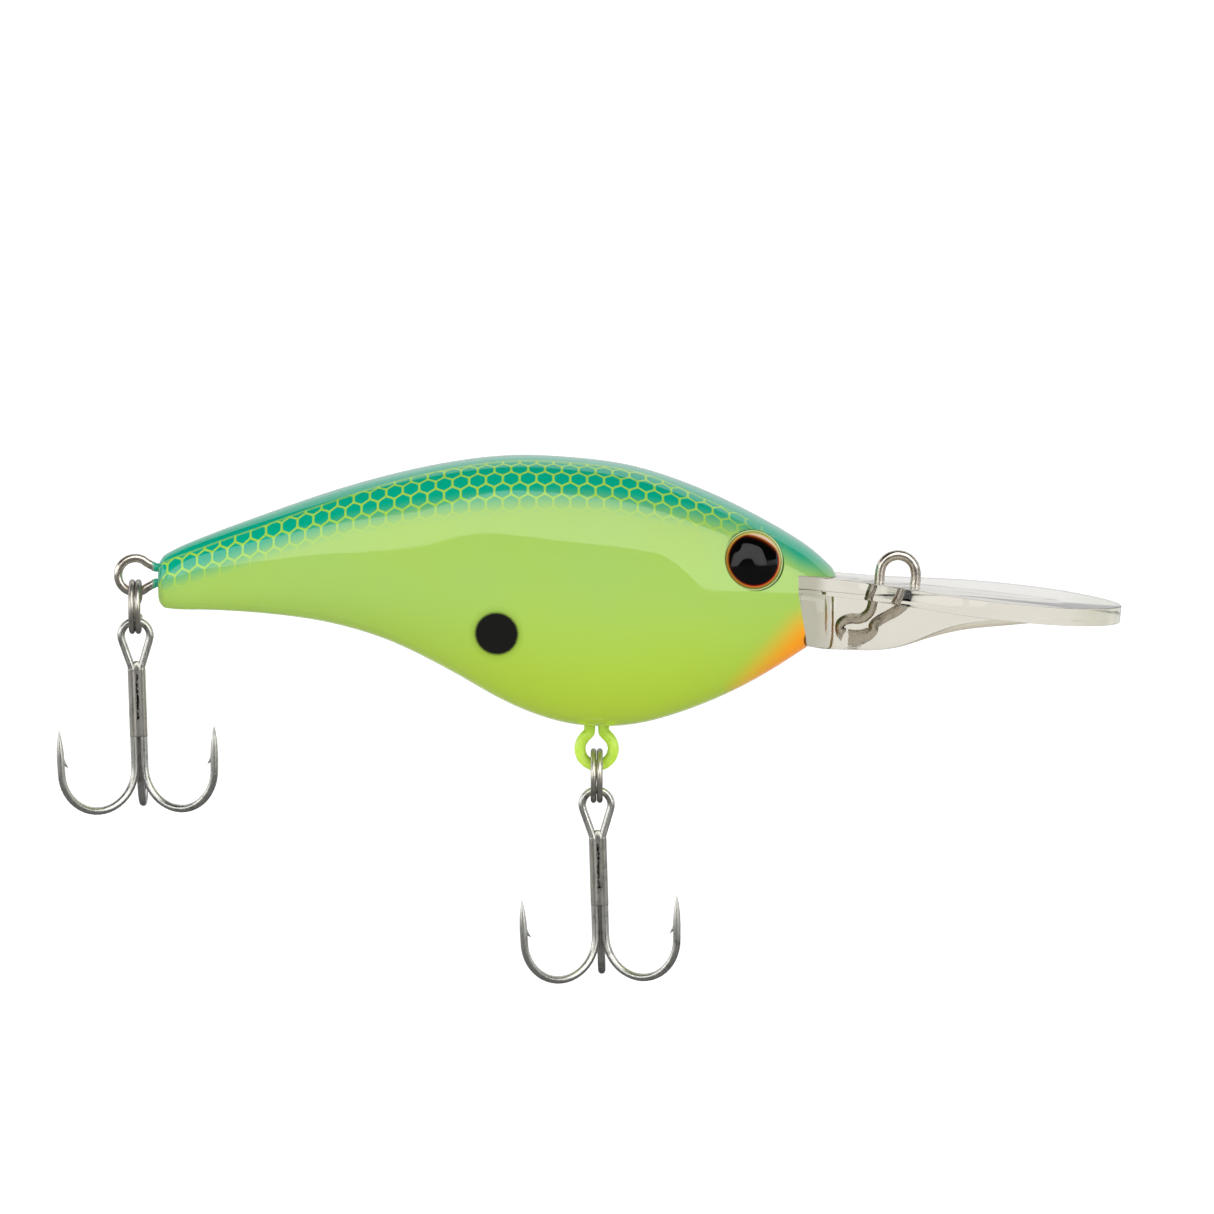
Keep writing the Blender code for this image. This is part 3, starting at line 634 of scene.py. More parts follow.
def net_paint(tree, flank, x):
    """Teal sprayed through a net, which leaves lime lines, and a thin hem where the net ends."""
    above, under = attribute(tree, "above_spray"), attribute(tree, "under_net_top")
    net_map = put(tree, "UVMap", uv_map="net").outputs[0]
    net = use_group(tree, SCALE_NET, Place=net_map, Line=0.038, Soft=0.05)
    low, high = (edge * MM for edge in SPRAY_FADE)
    teal = use_group(tree, AIRBRUSH, Value=above, Low=low, High=high, Speckle=0.1)
    cell = coat(tree, flank, BACK_TEAL, teal[0])
    line = coat(tree, flank, NET_LIME, ramp(tree, above, low, high))
    reach = times(tree, ramp(tree, under, -0.00005, 0.00005), ramp(tree, x, -0.0105, -0.0195))
    netted = coat(tree, cell, line, times(tree, net["Net"], reach))
    hem = times(tree, ramp(tree, under, 0.00018, 0.00008), ramp(tree, under, -0.00008, 0.0))
    return coat(tree, netted, NET_LIME, times(tree, hem, ramp(tree, x, -0.014, -0.019, 0.0, 0.5)))


def spot_paint(tree, base, x, z):
    """The sprayed black spot, in a faint halo of overspray."""
    middle_x, middle_z, radius = SPOT
    dx = sums(tree, "SUBTRACT", x, middle_x * MM)
    dz = sums(tree, "SUBTRACT", z, middle_z * MM)
    away = sums(tree, "SQRT", plus(tree, times(tree, dx, dx), times(tree, dz, dz)))
    halo = ramp(tree, away, (radius + 0.9) * MM, radius * MM, 0.0, 0.3)
    haloed = coat(tree, base, srgb(96, 124, 20), halo)
    low, high = (radius + 0.25) * MM, (radius - 0.15) * MM
    spot = use_group(tree, AIRBRUSH, Value=away, Low=low, High=high, Speckle=0.5)
    return coat(tree, haloed, srgb(13, 13, 11), spot[0])


def clear_plastic():
    """Moulded plastic, faintly warm, greyer in the collar, rippled, and frosted round the buried wire."""
    material, tree, shader = new_material("clear_lip_plastic", IOR=1.42, Transmission_Weight=1.0)
    place = object_place(tree)
    x, _, z = split(tree, place)
    flow = noise(tree, vectors(tree, "MULTIPLY", place, (160.0, 420.0, 420.0)), 1.0, 2.0, 0.5)
    tint = coat(tree, srgb(220, 215, 202), srgb(233, 229, 218), flow)
    tint = coat(tree, tint, srgb(190, 187, 170), ramp(tree, x, -0.0070, -0.0088))
    tint = coat(tree, tint, srgb(204, 204, 182), ramp(tree, x, 0.0165, 0.0205))
    link(tree, tint, shader["Base Color"])
    skin = use_group(tree, GLOSS, Ripple_Size=240.0, Ripple=0.12, Rough=0.0)
    grain = noise(tree, place, 2600.0, 2.0, 0.6)
    buried = times(tree, ramp(tree, x, 0.001, -0.0055), ramp(tree, z, -0.0035, -0.006))
    frost = times(tree, buried, ramp(tree, grain, 0.4, 0.65, 0.02, 0.22))
    link(tree, plus(tree, skin["Rough"], frost), shader["Roughness"])
    mottle = bump(tree, 0.35, 0.00006, times(tree, grain, buried), skin["Normal"])
    link(tree, mottle, shader["Normal"])
    return material


def metal(name, colour, stain, streaks, pits, rough, edge_shade=0.85):
    """Plated metal with painted shade towards its outline, standing in for the darkness thin wire shows at its
    edges in a light tent.
    """
    material, tree, shader = new_material(name, Metallic=1.0)
    made = use_group(tree, METAL, Colour=colour, Stain=stain, Streak_Size=streaks, Pits=pits, Rough=rough)
    facing = put(tree, "LayerWeight", 0.5, made["Normal"]).outputs["Facing"]
    # Painted shade: the colour goes towards near-black as the surface turns away from the view.
    edge = times(tree, ramp(tree, facing, 0.4, 0.85), edge_shade)
    link(tree, coat(tree, made["Colour"], srgb(24, 23, 22), edge), shader["Base Color"])
    dress(tree, made, shader)
    return material


def open_up(material):
    """A finished material's tree, its shader's sockets, and what feeds its colour."""
    shader = material.node_tree.nodes["Principled BSDF"].inputs
    return material.node_tree, shader, shader["Base Color"].links[0].from_socket


def tail_wire():
    """The bare tail hanger, with the back's teal sprayed on where it leaves the body."""
    material = metal("stainless_tail_wire", *STAINLESS)
    tree, shader, bare = open_up(material)
    along = split(tree, object_place(tree))[0]
    sprayed = use_group(tree, AIRBRUSH, Value=along, Low=-0.0779, High=-0.0774, Speckle=1.2, Grain=2500.0)[0]
    link(tree, coat(tree, bare, BACK_TEAL, sprayed), shader["Base Color"])
    link(tree, sums(tree, "SUBTRACT", 1.0, sprayed), shader["Metallic"])
    return material


def brazing():
    """Dull brazing film, with a dark ragged line along the groove between the two front shanks: partly its
    pits, partly painted shade in that crease.
    """
    material = metal("brazed_joint", *BRAZE)
    tree, shader, bare = open_up(material)
    ragged = times(tree, noise(tree, object_place(tree), 3200.0, 2.0, 0.6), 0.0006)
    # Painted shade in the crease between the two front shanks, broken up like pits.
    pitted = ramp(tree, plus(tree, attribute(tree, "from_shaded_groove"), ragged), 0.00042, 0.00034)
    link(tree, coat(tree, bare, srgb(22, 21, 20), pitted), shader["Base Color"])
    return material


def hanger_paint():
    """The belly hanger is sprayed with the body, so it wears the belly's colour."""
    material, tree, shader = new_material("hanger_overspray", IOR=1.5)
    pooled = ramp(tree, noise(tree, object_place(tree), 900.0, 3.0, 0.6), 0.3, 0.7)
    link(tree, coat(tree, srgb(190, 222, 84), srgb(172, 208, 62), pooled), shader["Base Color"])
    dress(tree, use_group(tree, GLOSS, Ripple_Size=1500.0, Ripple=0.25, Rough=0.12), shader)
    return material


def eye_print():
    """Printed foil: a dark rim, which is painted shadow from the socket's edge, pale and gold rings, an amber
    crescent and an egg-shaped black pupil, glowing faintly as painted light.
    """
    material, tree, shader = new_material("eye_print", Specular_IOR_Level=0.0, Emission_Strength=0.5)
    eye = put(tree, "UVMap", uv_map="eye").outputs[0]
    radius = vectors(tree, "LENGTH", eye)
    brow, brow_reach, brow_radius, pupil_radius = (0.489, 0.872, 0.0), 0.94, 1.6, 0.79
    from_brow = vectors(tree, "ADD", eye, tuple(brow_reach * c for c in brow))
    cut = sums(tree, "DIVIDE", vectors(tree, "LENGTH", from_brow), brow_radius)
    egg = sums(tree, "SMOOTH_MAX", sums(tree, "DIVIDE", radius, pupil_radius), cut, 0.03)
    upward = ramp(tree, vectors(tree, "DOT_PRODUCT", eye, brow), -0.4, 0.8)
    forward_low = ramp(tree, vectors(tree, "DOT_PRODUCT", eye, (0.6, -0.8, 0.0)), 0.2, 0.6)
    crescent = coat(tree, srgb(222, 132, 34), srgb(232, 205, 186), ramp(tree, cut, 1.01, 1.07))
    colour = coat(tree, srgb(166, 122, 52), srgb(196, 186, 96), upward)
    for ink, follows, begins, full in (
        (srgb(74, 110, 50), radius, 0.885, 0.91),
        (srgb(206, 222, 150), radius, 0.915, 0.935),
        # Painted shadow: the dark green band at the very edge stands for the shade the socket's edge casts on
        # the foil.
        (srgb(36, 104, 70), radius, 0.965, 0.985),
        (crescent, radius, 0.86, 0.81),
        (coat(tree, srgb(150, 74, 22), srgb(196, 30, 22), forward_low), egg, 1.075, 1.02),
        (srgb(60, 10, 6), egg, 1.03, 0.99),
        (srgb(3, 3, 3), egg, 1.0, 0.95),
    ):
        colour = coat(tree, colour, ink, ramp(tree, follows, begins, full))
    link(tree, colour, shader["Base Color"])
    # Painted light: the print's colour is also its emission, so it glows faintly in place of the light the
    # dome keeps from it.
    link(tree, colour, shader["Emission Color"])
    link(tree, ramp(tree, noise(tree, eye, 60.0, 3.0, 0.6), 0.3, 0.7, 0.35, 0.5), shader["Roughness"])
    return material


def resin():
    material, tree, shader = new_material("eye_resin", IOR=1.36, Transmission_Weight=1.0)
    cloud = noise(tree, object_place(tree), 300.0, 2.0, 0.5)
    link(tree, coat(tree, srgb(252, 250, 244), srgb(255, 255, 252), cloud), shader["Base Color"])
    dress(tree, use_group(tree, GLOSS, Ripple_Size=350.0, Ripple=0.03, Rough=0.0), shader)
    return material


# Metals: colour, stain, streak size, pits, roughness and how strongly painted shade darkens the outline.
STAINLESS = (srgb(214, 206, 194), srgb(96, 86, 76), (2200, 2200, 2200), 0.3, 0.2, 0.8)
NICKEL = (srgb(200, 195, 184), srgb(150, 145, 134), (2600, 500, 500), 0.15, 0.3, 0.95)
BLACK_NICKEL = (srgb(200, 199, 193), srgb(120, 118, 112), (3200, 3200, 350), 0.35, 0.25, 0.95)
BRAZE = (srgb(184, 181, 172), srgb(110, 108, 102), (1800, 1800, 900), 0.8, 0.3)
GROUND_STEEL = (srgb(190, 190, 192), srgb(140, 140, 140), (3000, 3000, 3000), 0.1, 0.1)


# ---- body ----

def form_rings():
    return [(x, *table_at(FORM, x)) for x in stations(FORM, FORM_RINGS_PER_SPAN)]


def seat_tool():
    """The room that the lip takes out of the nose, under the blade's plane and ahead of the collar."""
    front, floor, wide = 25.0, -14.0, 12.0
    root = BLADE_TOP + BLADE_SLOPE * SEAT_X
    shoulder = root - BLADE_THICK
    outline = ((SEAT_X, root + SEAT_GAP), (front, BLADE_TOP + BLADE_SLOPE * front + SEAT_GAP), (front, floor),
               (SEAT_X + SEAT_LEAN * (floor - shoulder), floor), (SEAT_X, shoulder))
    tool = start(bpy.ops.mesh.primitive_circle_add, "seat", vertices=len(outline), radius=MM, fill_type="NGON",
                 location=(0, -wide * MM, 0), rotation=(math.pi / 2, 0, 0))
    for vertex, (x, z) in zip(tool.data.vertices, outline):
        vertex.co = (x * MM, -wide * MM, z * MM)
    return push_out(tool, (0, 2 * wide * MM, 0))


def eye_matrix(side):
    """Local Z looks out of the flank, local Y up, and the origin is the middle of the foil's back."""
    word = "left" if side > 0 else "right"
    low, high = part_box(f"{word}_eye_foil")
    yaw, pitch = math.radians(EYE_YAW), math.radians(EYE_PITCH)
    out = Vector((math.sin(yaw), side * math.cos(yaw) * math.cos(pitch), math.sin(pitch))).normalized()
    up = (Vector((0, 0, 1)) - out * out.z).normalized()
    turn = Matrix((up.cross(out), up, out)).transposed().to_4x4()
    return Matrix.Translation((low + high) / 2 - out * FOIL_THICK / 2 * MM) @ turn


def socket_tool(side):
    tool = start(bpy.ops.mesh.primitive_cylinder_add, "socket", vertices=72, radius=SOCKET_RADIUS * MM,
                 depth=SOCKET_LONG * MM, location=(0, 0, SOCKET_LONG / 2 * MM))
    return place_by(tool, eye_matrix(side))


def girth_from_ridge(x, y, z, back, belly, half):
    """How far each point lies from the ridge, measured round the body's skin."""
    level = belly + FORM_LEVEL * (back - belly)
    height = np.where(z > level, back - level, level - belly)
    rise = np.sign(z - level) * np.minimum(np.abs(z - level) / height, 1) ** (FORM_POWER / 2)
    out = np.minimum(np.abs(y) / half, 1) ** (FORM_POWER / 2)
    angle = np.arctan2(out, rise)
    girth, last_y, last_z = np.zeros(len(x)), np.zeros(len(x)), back
    steps = 24
    for k in range(1, steps + 1):
        turn = angle * k / steps
        tall = np.where(np.cos(turn) > 0, back - level, level - belly)
        here_y = half * np.abs(np.sin(turn)) ** (2 / FORM_POWER)
        here_z = level + tall * np.sign(np.cos(turn)) * np.abs(np.cos(turn)) ** (2 / FORM_POWER)
        girth += np.hypot(here_y - last_y, here_z - last_z)
        last_y, last_z = here_y, here_z
    return girth


def from_chin(x, z):
    """The distance from the chin's sprayed line, which thins out backwards."""
    (start_x, start_z), (end_x, end_z) = CHIN
    run_x, run_z = end_x - start_x, end_z - start_z
    share = np.clip(((x - start_x) * run_x + (z - start_z) * run_z) / (run_x**2 + run_z**2), 0, 1)
    return np.hypot(x - start_x - share * run_x, z - start_z - share * run_z) + CHIN_TAPER * share


def mark_paint(obj):
    """Lays the net's map and the airbrush distances on a skin, worked out from where each point lies."""
    x, y, z = places_of(obj)
    grid = np.linspace(FORM[0][0], FORM[-1][0], 400)
    rows = np.array([table_at(FORM, g) for g in grid])
    back, belly, half = (np.interp(x, grid, rows[:, k]) for k in range(3))
    crown = max(row[1] for row in FORM)
    drop = girth_from_ridge(x, y, z, back, belly, half) + NET_DIP * (crown - back)
    run = x - NET_START
    across = run * (1 + NET_SQUEEZE * (run / NET_STRETCH) ** 2) / NET_PITCH
    lay_map(obj, "net", across, drop / NET_ROW * HEX_ROW)
    edge, net_drop = (np.interp(x, *zip(*table)) for table in (SPRAY_EDGE, NET_TOP))
    lay_values(obj, "above_spray", z - edge)
    lay_values(obj, "from_chin", from_chin(x, z))
    lay_values(obj, "under_net_top", back - net_drop - z)


def make_body(paint):
    form = draw_out("body_form", form_rings(), FORM_POWER, FORM_LEVEL, FORM_SIDES)
    modify(form, "SUBSURF", levels=2, render_levels=2)
    carve(form, "DIFFERENCE", seat_tool(), socket_tool(-1), socket_tool(1))
    long, wide, tall = 120 * MM, 15 * MM, 60 * MM
    for word, side in (("right", -1), ("left", 1)):
        half = twin(form, f"{word}_half_body")
        middle = -side * (wide / 2 - SEAM_HALF_GAP * MM)
        other = start(bpy.ops.mesh.primitive_cube_add, "other_half", size=1, scale=(long, wide, tall),
                      location=(-long / 3, middle, 0))
        carve(half, "DIFFERENCE", other)
        settle(half, paint, "lure_body", "shell_paint", f"{word}_shell", angle=40)
        mark_paint(half)
    bpy.data.objects.remove(form)


# ---- lip ----

def blade_strip():
    """The blade's top face: a strip with its front edge drawn forward from station to station."""
    xs = stations(BLADE_PLAN, 4)
    blade = start(bpy.ops.mesh.primitive_plane_add, "clear_lip", size=MM)
    first, second = xs[0], xs[1]
    for vertex in blade.data.vertices:
        x = second if vertex.co.x > 0 else first
        half = table_at(BLADE_PLAN, x)[0]
        vertex.co = (x * MM, math.copysign(half, vertex.co.y) * MM, (BLADE_TOP + BLADE_SLOPE * x) * MM)
    edit(blade, "DESELECT")
    bpy.ops.mesh.select_mode(type="EDGE")
    leave_edit()
    for edge in blade.data.edges:
        edge.select = all(blade.data.vertices[i].co.x > (first + second) / 2 * MM for i in edge.vertices)
    take(blade)
    bpy.ops.object.mode_set(mode="EDIT")
    for here, there in zip(xs[1:], xs[2:]):
        step = (there - here) * MM
        change = table_at(BLADE_PLAN, there)[0] / table_at(BLADE_PLAN, here)[0]
        bpy.ops.mesh.extrude_region_move(TRANSFORM_OT_translate={"value": (step, 0, BLADE_SLOPE * step)})
        bpy.ops.transform.resize(value=(1, change, 1), center_override=(there * MM, 0, 0))
    bpy.ops.mesh.select_mode(type="VERT")
    bpy.ops.mesh.select_all(action="SELECT")
    bpy.ops.mesh.normals_make_consistent(inside=False)
    leave_edit()
    return blade


def make_lip(plastic):
    """The blade is given its thickness and a round rim, and the stem with its collar is joined on."""
    blade = blade_strip()
    up = sum(polygon.normal.z for polygon in blade.data.polygons)
    modify(blade, "SOLIDIFY", thickness=BLADE_THICK * MM, offset=-1 if up > 0 else 1)
    modify(blade, "BEVEL", width=BLADE_RIM * MM, segments=8, limit_method="ANGLE",
           angle_limit=math.radians(50))
    rings = []
    for x in stations(STEM, 3):
        drop, bottom, half = table_at(STEM, x)
        rings.append((x, BLADE_TOP + BLADE_SLOPE * x - drop, bottom, half))
    carve(blade, "UNION", draw_out("stem", rings, STEM_POWER, 0.5, 40, lean=STEM_LEAN))
    for side in (-1, 1):
        carve(blade, "DIFFERENCE", post_mark(side))
    settle(blade, plastic, "lure_body", "clear_plastic", "diving_lip", angle=50)


def post_mark(side):
    """The oval mark that the moulding pin leaves inside the tie's loop."""
    x, z = TIE_POST[0], TIE_POST[1] + POST_MARK_RISE
    mark = start(bpy.ops.mesh.primitive_circle_add, "post_mark", vertices=48, radius=MM, fill_type="NGON",
                 location=(x * MM, side * POST_MARK_DEPTH * MM, z * MM), rotation=(math.pi / 2, 0, 0))
    edit(mark)
    bpy.ops.transform.resize(value=(POST_MARK[0], 1, POST_MARK[1]), center_override=(x * MM, 0, z * MM))
    leave_edit()
    return push_out(mark, (0, side * TOOL_LONG * MM, 0))


# ---- wires ----

def post_arc(start_angle, end_angle):
    """An arc of the tie's flattened loop round the post inside the lip."""
    points = arc(TIE_POST, TIE_POST_LOOP, start_angle, end_angle, 30)
    return [Vector((p.x, 0, TIE_POST[1] + TIE_POST_FLAT * (p.z - TIE_POST[1]))) for p in points]


def make_line_tie(steel):
    """The eye above the lip, and two legs that cross the stem to the loop round the post."""
    aft_leg, fore_leg = ([Vector((x, 0, z)) for x, z in leg] for leg in (TIE_AFT_LEG, TIE_FORE_LEG))
    aft = [*post_arc(TIE_ENDS[0], 76), *aft_leg, *arc((0, 0), TIE_EYE, 180, 90, 30)]
    fore = [*post_arc(TIE_ENDS[1], 374), *fore_leg, *arc((0, 0), TIE_EYE, 0, 90, 30)]
    wire = draw_wire("line_tie_wire", eased([*aft, *reversed(fore[:-1])], 6), TIE_WIRE, sides=20)
    settle(wire, steel, "lure_body", "stainless_wire", "line_tie")


def make_hanger(word, loop, post, material, slot):
    """A figure-8 wire: the outer loop carries the ring, the inner one goes round a post in the body."""
    radius, wire, neck_start, neck = HANGER[word]
    loop, post = Vector((loop[0], 0, loop[1])), Vector((post[0], 0, post[1]))
    along = (post - loop).normalized()
    across = Vector((-along.z, 0, along.x))
    reach = (post - loop).length
    outer = (180, 150, 120, 90, 65, 45)
    half = [(radius * math.cos(a), radius * math.sin(a)) for a in map(math.radians, outer)]
    half += [(neck_start + SHOULDER_DROP[0], neck + SHOULDER_DROP[1]), (neck_start, neck)]
    half += [(reach - HANGER_POST_LOOP - POST_LEAD, neck)]
    half += [(reach + HANGER_POST_LOOP * math.cos(a), HANGER_POST_LOOP * math.sin(a))
             for a in map(math.radians, (125, 90, 60, 30, 15))]
    strands = [[loop + along * u + across * (side * v) for u, v in reversed(half)] for side in (1, -1)]
    path = eased([*strands[0], *reversed(strands[1][:-1])], 5)
    piece = draw_wire(f"{word}_hanger_wire", path, wire, sides=20)
    settle(piece, material, "lure_body", slot, f"{word}_hanger")


def make_ring(word, nickel):
    """Two flat turns of wire side by side, joined by a short jog."""
    at = Vector(JOINTS[f"{word}_ring_swing"]["pos_m"]) / MM
    points = []
    count = 96
    for i in range(count + 1):
        turn = RING_START + RING_TURN * i / count
        share = min(max((turn - RING_JOG + RING_JOG_HALF) / (2 * RING_JOG_HALF), 0.0), 1.0)
        share = share * share * (3 - 2 * share)
        x = RING_COIL * (2 * share - 1)
        y = RING_RADIUS * math.cos(math.radians(turn))
        z = RING_RADIUS * math.sin(math.radians(turn)) - RING_DROP[word]
        points.append(at + Vector((x, y, z)))
    ring = draw_wire(f"{word}_ring_wire", points, RING_WIRE, sides=14)
    settle(ring, nickel, f"{word}_ring", "ring_nickel", f"{word}_split_ring")


def hook_arm(heading):
    """From the top of a shank, round the bend to the point: places, and shares of the wire's radius."""
    outward = Vector((math.cos(math.radians(heading)), math.sin(math.radians(heading)), 0))
    middle = SHANK_OFFSET + BEND
    flat = [(SHANK_OFFSET, SHANK_TOP + (SHANK_END - SHANK_TOP) * i / 6, 1.0) for i in range(6)]
    count = 24
    for i in range(count + 1):
        angle = math.pi * (1 + i / count)
        flat.append((middle + BEND * math.cos(angle), SHANK_END + BEND * math.sin(angle), 1.0))
    leg = POINT_Z - SHANK_END
    for z, share in POINT_TAPER:
        flat.append((middle + BEND + POINT_LEAN * (z - SHANK_END) / leg, z, share))
    return [outward * r + Vector((0, 0, z)) for r, z, _ in flat], [share for _, _, share in flat]


def barb(heading):
    """A sliver raised on the inner side of the point: a four-sided cone pulled down to its tip."""
    leg = SHANK_OFFSET + 2 * BEND + POINT_LEAN / 2
    sliver = start(bpy.ops.mesh.primitive_cone_add, "barb", vertices=4, radius1=0.3 * MM, depth=1 * MM)
    foot, end = BARB_FOOT
    for vertex in sliver.data.vertices:
        if vertex.co.z > 0:
            vertex.co = Vector((leg - BARB_REACH, 0, BARB_TIP)) * MM
        elif abs(vertex.co.x) > abs(vertex.co.y):
            vertex.co = Vector((leg - BARB_SINK, 0, foot if vertex.co.x > 0 else end)) * MM
        else:
            vertex.co = Vector((leg, math.copysign(BARB_HALF, vertex.co.y), (foot + end) / 2)) * MM
    edit(sliver)
    bpy.ops.mesh.normals_make_consistent(inside=False)
    leave_edit()
    return place_by(sliver, Matrix.Rotation(math.radians(heading), 4, "Z"))


def make_braze(word):
    """The brazed joint: a film round the three shanks, a core between them and a web in the eye's throat."""
    length, middle = BRAZE_TOP - BRAZE_END, (BRAZE_TOP + BRAZE_END) / 2
    rod = {"vertices": 24, "depth": length * MM}
    braze = start(bpy.ops.mesh.primitive_cylinder_add, f"{word}_braze", radius=BRAZE_CORE * MM,
                  location=(0, 0, middle * MM), **rod)
    parts = []
    for heading in (*DOUBLE_HEADINGS, SINGLE_HEADING):
        turn = math.radians(heading)
        spot = (SHANK_OFFSET * math.cos(turn) * MM, SHANK_OFFSET * math.sin(turn) * MM, middle * MM)
        parts.append(start(bpy.ops.mesh.primitive_cylinder_add, "sleeve", location=spot,
                           radius=(HOOK_WIRE + BRAZE_FILM) * MM, **rod))
    throat = (0, -SHANK_OFFSET / 2 * MM, (BRAZE_TOP + 0.05) * MM)
    parts.append(start(bpy.ops.mesh.primitive_uv_sphere_add, "web", segments=24, ring_count=16, radius=MM,
                       location=throat, scale=BRAZE_WEB))
    carve(braze, "UNION", *parts)
    modify(braze, "REMESH", mode="VOXEL", voxel_size=BRAZE_GRAIN * MM)
    modify(braze, "SMOOTH", factor=0.5, iterations=3)
    x, y, z = places_of(braze)
    # How far each point lies from the braze's painted groove shade, near the middle on the side of the two
    # front shanks.
    beyond = np.clip(np.abs(z - GROOVE_MIDDLE) - GROOVE_HALF, 0, 1)
    lay_values(braze, "from_shaded_groove", np.abs(x) + np.where(y > 0, 1000.0, 0.0) + beyond)
    return braze


def make_treble(word, plate, solder):
    lean = Matrix.Rotation(HOOK_LEAN, 4, "Y")
    at = Matrix.Translation(Vector(JOINTS[f"{word}_hook_swing"]["pos_m"])) @ lean
    right, left = DOUBLE_HEADINGS
    arm, shares = hook_arm(right)
    other, _ = hook_arm(left)
    eye = arc((0, 0), HOOK_EYE, -HOOK_EYE_LEAVES, 180 + HOOK_EYE_LEAVES, 12)
    path = [*reversed(arm), *eye, *other]
    double = draw_wire(f"{word}_double_hook", path, HOOK_WIRE, [*reversed(shares), *[1.0] * len(eye), *shares])
    carve(double, "UNION", barb(right), barb(left))
    arm, shares = hook_arm(SINGLE_HEADING)
    single = draw_wire(f"{word}_single_hook", arm, HOOK_WIRE, shares)
    carve(single, "UNION", barb(SINGLE_HEADING))
    for piece, material, slot, node in (
        (double, plate, "hook_black_nickel", f"{word}_hook_double"),
        (single, plate, "hook_black_nickel", f"{word}_hook_single"),
        (make_braze(word), solder, "hook_solder", f"{word}_hook_braze"),
    ):
        place_by(piece, at)
        settle(piece, material, f"{word}_hook", slot, node)


# ---- eyes ----

def eye_disc(name, radius, height):
    return start(bpy.ops.mesh.primitive_circle_add, name, vertices=72, radius=radius * MM, fill_type="NGON",
                 location=(0, 0, height * MM))


def make_foil(side, word, ink):
    foil = eye_disc(f"{word}_eye_print", EYE_RADIUS, 0)
    edit(foil)
    bpy.ops.mesh.extrude_region_move(TRANSFORM_OT_translate={"value": (0, 0, FOIL_THICK * MM)})
    bpy.ops.mesh.inset(thickness=FOIL_EDGE * MM)
    bpy.ops.transform.translate(value=(0, 0, FOIL_CROWN * MM))
    leave_edit()
    x, y, _ = places_of(foil) / EYE_RADIUS
    lay_map(foil, "eye", -side * x, y)
    place_by(foil, eye_matrix(side))
    settle(foil, ink, "lure_body", "eye_foil", f"{word}_eye_foil")


def make_lens(side, word, clear):
    """A low wall of resin with a paraboloid on it."""
    base = FOIL_THICK - DOME_SINK
    dome = eye_disc(f"{word}_eye_lens", LENS_RADIUS, base)
    edit(dome)
    bpy.ops.mesh.extrude_region_move(TRANSFORM_OT_translate={"value": (0, 0, DOME_WALL * MM)})
    last, height = 1.0, 0.0
    for k in range(1, DOME_STEPS + 1):
        share = max(math.cos(math.pi / 2 * k / DOME_STEPS), DOME_TIP)
        rise = DOME_RISE * (1 - share * share)
        bpy.ops.mesh.extrude_region_move(TRANSFORM_OT_translate={"value": (0, 0, (rise - height) * MM)})
        centre = (0, 0, (base + DOME_WALL + rise) * MM)
        bpy.ops.transform.resize(value=(share / last, share / last, 1), center_override=centre)
        last, height = share, rise
    leave_edit()
    place_by(dome, eye_matrix(side))
    settle(dome, clear, "lure_body", "eye_resin", f"{word}_eye_dome", angle=50)


# ---- studio: directions are degrees, and radiances are shares of paper white ----

SOFTBOX, BACK_WALL, LOW_WALL, AFT_CARD, FORE_CARD = 2.35, 1.3, 0.68, 2.2, 0.9
CEILING, FRONT_DIM, DIFFUSE_GAIN, CLEAR_FRONT, PAPER = 0.03, 0.1, 1.1, 0.75, 1.02
FLOOR_FRONT, FLOOR_BACK, FLOOR_DROP = 0.2, 1.0, 0.06
BOX_YAW, BOX_FOOT, BOX_TOP = (-40.0, 62.0), (20.0, -5.0), (45.0, 69.0)
AFT_YAW, AFT_HEIGHT, FORE_YAW, FORE_HEIGHT = (-112.0, -46.0), (-0.3, 0.42), (52.0, 128.0), (-0.4, 0.2)
LENS_LONG, SENSOR_WIDE, CAMERA_RISE, CAMERA_AWAY, CAMERA_AIM = 300, 36, 5.25, 1.055, (-30.32, 0, -3.56)


def white_floor():
    """Pale floor. Gloss and clear pieces see it dim in front and white behind, as a lit sweep is."""
    material, tree, shader = new_material("white_floor", Roughness=0.9, Emission_Strength=0.3)
    shader["Base Color"].default_value = (0.93, 0.93, 0.93, 1)
    shader["Emission Color"].default_value = (1, 1, 1, 1)
    seen = put(tree, "LightPath").outputs
    near = mix(tree, "FLOAT", seen["Is Transmission Ray"], FLOOR_FRONT, CLEAR_FRONT)
    power = ramp(tree, split(tree, object_place(tree))[1], 0.05, 0.4, near, FLOOR_BACK)
    glow = put(tree, "Emission", (1, 1, 1, 1), power).outputs[0]
    plain = sums(tree, "MAXIMUM", seen["Is Camera Ray"], seen["Is Diffuse Ray"])
    either = put(tree, "MixShader", plain, glow, tree.nodes["Principled BSDF"].outputs[0])
    link(tree, either.outputs[0], tree.nodes["Material Output"].inputs["Surface"])
    return material


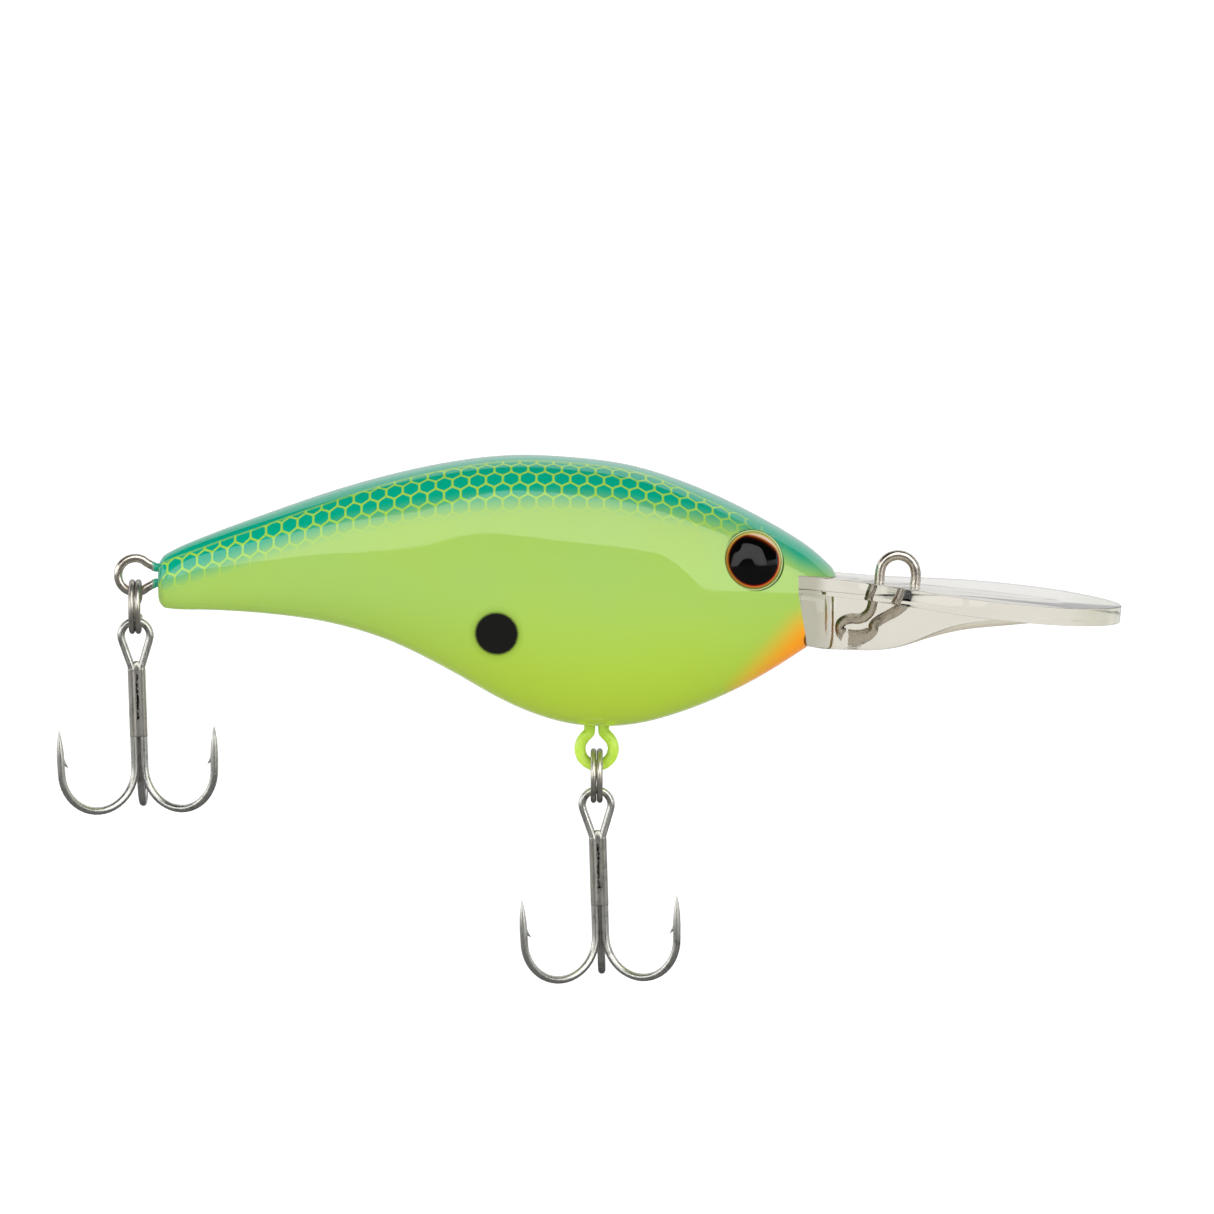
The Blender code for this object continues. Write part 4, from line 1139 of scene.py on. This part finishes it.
def studio_light(tree, x, front, z):
    """A softbox over the front, a lit wall behind, a card at each end, and dimness between."""
    around = times(tree, sums(tree, "ARCTAN2", z, front), 180 / math.pi)
    yaw = times(tree, sums(tree, "ARCTAN2", x, front), 180 / math.pi)
    foot = ramp(tree, sums(tree, "ABSOLUTE", x), 0.2, 0.5, *BOX_FOOT)
    top = ramp(tree, x, -0.4, -0.1, *BOX_TOP)
    box = times(tree, within(tree, around, foot, top, 1.5), within(tree, yaw, *BOX_YAW, 2.0))
    wall = times(tree, ramp(tree, around, 117.0, 119.0), ramp(tree, around, 150.0, 172.0, 1.0, LOW_WALL))
    aft = times(tree, within(tree, yaw, *AFT_YAW, 2.0), within(tree, z, *AFT_HEIGHT, 0.03))
    fore = times(tree, within(tree, yaw, *FORE_YAW, 3.0), within(tree, z, *FORE_HEIGHT, 0.03))
    light = ramp(tree, around, 45.0, 15.0, CEILING, FRONT_DIM)
    for part, power in ((box, SOFTBOX), (wall, BACK_WALL), (aft, AFT_CARD), (fore, FORE_CARD)):
        light = sums(tree, "MAXIMUM", light, times(tree, part, power))
    return light


def make_studio():
    """The camera sees plain paper, clear pieces see a pale room, and gloss and paint see the studio."""
    bpy.ops.object.select_all(action="DESELECT")
    floor = start(bpy.ops.mesh.primitive_plane_add, "floor", size=30,
                  location=(0, 0, CAD_BOX[0].z - FLOOR_DROP))
    floor.data.materials.append(white_floor())
    world = bpy.data.worlds.new("studio")
    bpy.context.scene.world = world
    world.use_nodes = True
    tree = world.node_tree
    x, y, z = split(tree, put(tree, "TexCoord").outputs["Generated"])
    light = studio_light(tree, x, times(tree, y, -1.0), z)
    seen = put(tree, "LightPath").outputs
    light = times(tree, light, ramp(tree, seen["Is Diffuse Ray"], 0.0, 1.0, 1.0, DIFFUSE_GAIN))
    clear = ramp(tree, y, -0.3, 0.5, CLEAR_FRONT, 1.0)
    light = mix(tree, "FLOAT", seen["Is Transmission Ray"], light, clear)
    light = mix(tree, "FLOAT", seen["Is Camera Ray"], light, PAPER)
    background = tree.nodes["Background"].inputs
    background["Color"].default_value = (1, 1, 1, 1)
    link(tree, light, background["Strength"])
    bpy.context.scene.view_settings.view_transform = "Standard"


def make_camera():
    """A long lens level with the right flank, a little above it."""
    camera = bpy.data.objects.new("camera", bpy.data.cameras.new("camera"))
    bpy.context.scene.collection.objects.link(camera)
    camera.data.lens, camera.data.sensor_width = LENS_LONG, SENSOR_WIDE
    camera.data.clip_start, camera.data.clip_end = 0.05, 60
    rise = math.radians(CAMERA_RISE)
    back = Vector((0, -math.cos(rise), math.sin(rise)))
    camera.location = Vector(CAMERA_AIM) * MM + back * CAMERA_AWAY
    camera.rotation_mode = "QUATERNION"
    camera.rotation_quaternion = (-back).to_track_quat("-Z", "Y")
    bpy.context.scene.camera = camera


def finish_balls(steel):
    """The inner balls keep their solids and get ground steel."""
    for name, node in CAD.items():
        if name.endswith("_ball"):
            for slot in node.material_slots:
                slot.material = steel


def main():
    make_camera()
    make_studio()
    make_body(body_paint())
    make_lip(clear_plastic())
    make_line_tie(metal("stainless_wire", *STAINLESS))
    nickel, plate = metal("bright_nickel", *NICKEL), metal("black_nickel", *BLACK_NICKEL)
    solder = brazing()
    hangers = (("belly", "hanger_paint", hanger_paint()), ("tail", "stainless_wire", tail_wire()))
    for word, slot, material in hangers:
        swing = Vector(JOINTS[f"{word}_ring_swing"]["pos_m"]) / MM
        loop = (swing.x, swing.z + HANGER[word][0])
        post = (loop[0], BELLY_POST_Z) if word == "belly" else (TAIL_POST_X, loop[1])
        make_hanger(word, loop, post, material, slot)
        make_ring(word, nickel)
        make_treble(word, plate, solder)
    ink, clear = eye_print(), resin()
    for side, word in ((-1, "right"), (1, "left")):
        make_foil(side, word, ink)
        make_lens(side, word, clear)
    finish_balls(metal("ground_steel", *GROUND_STEEL))


main()
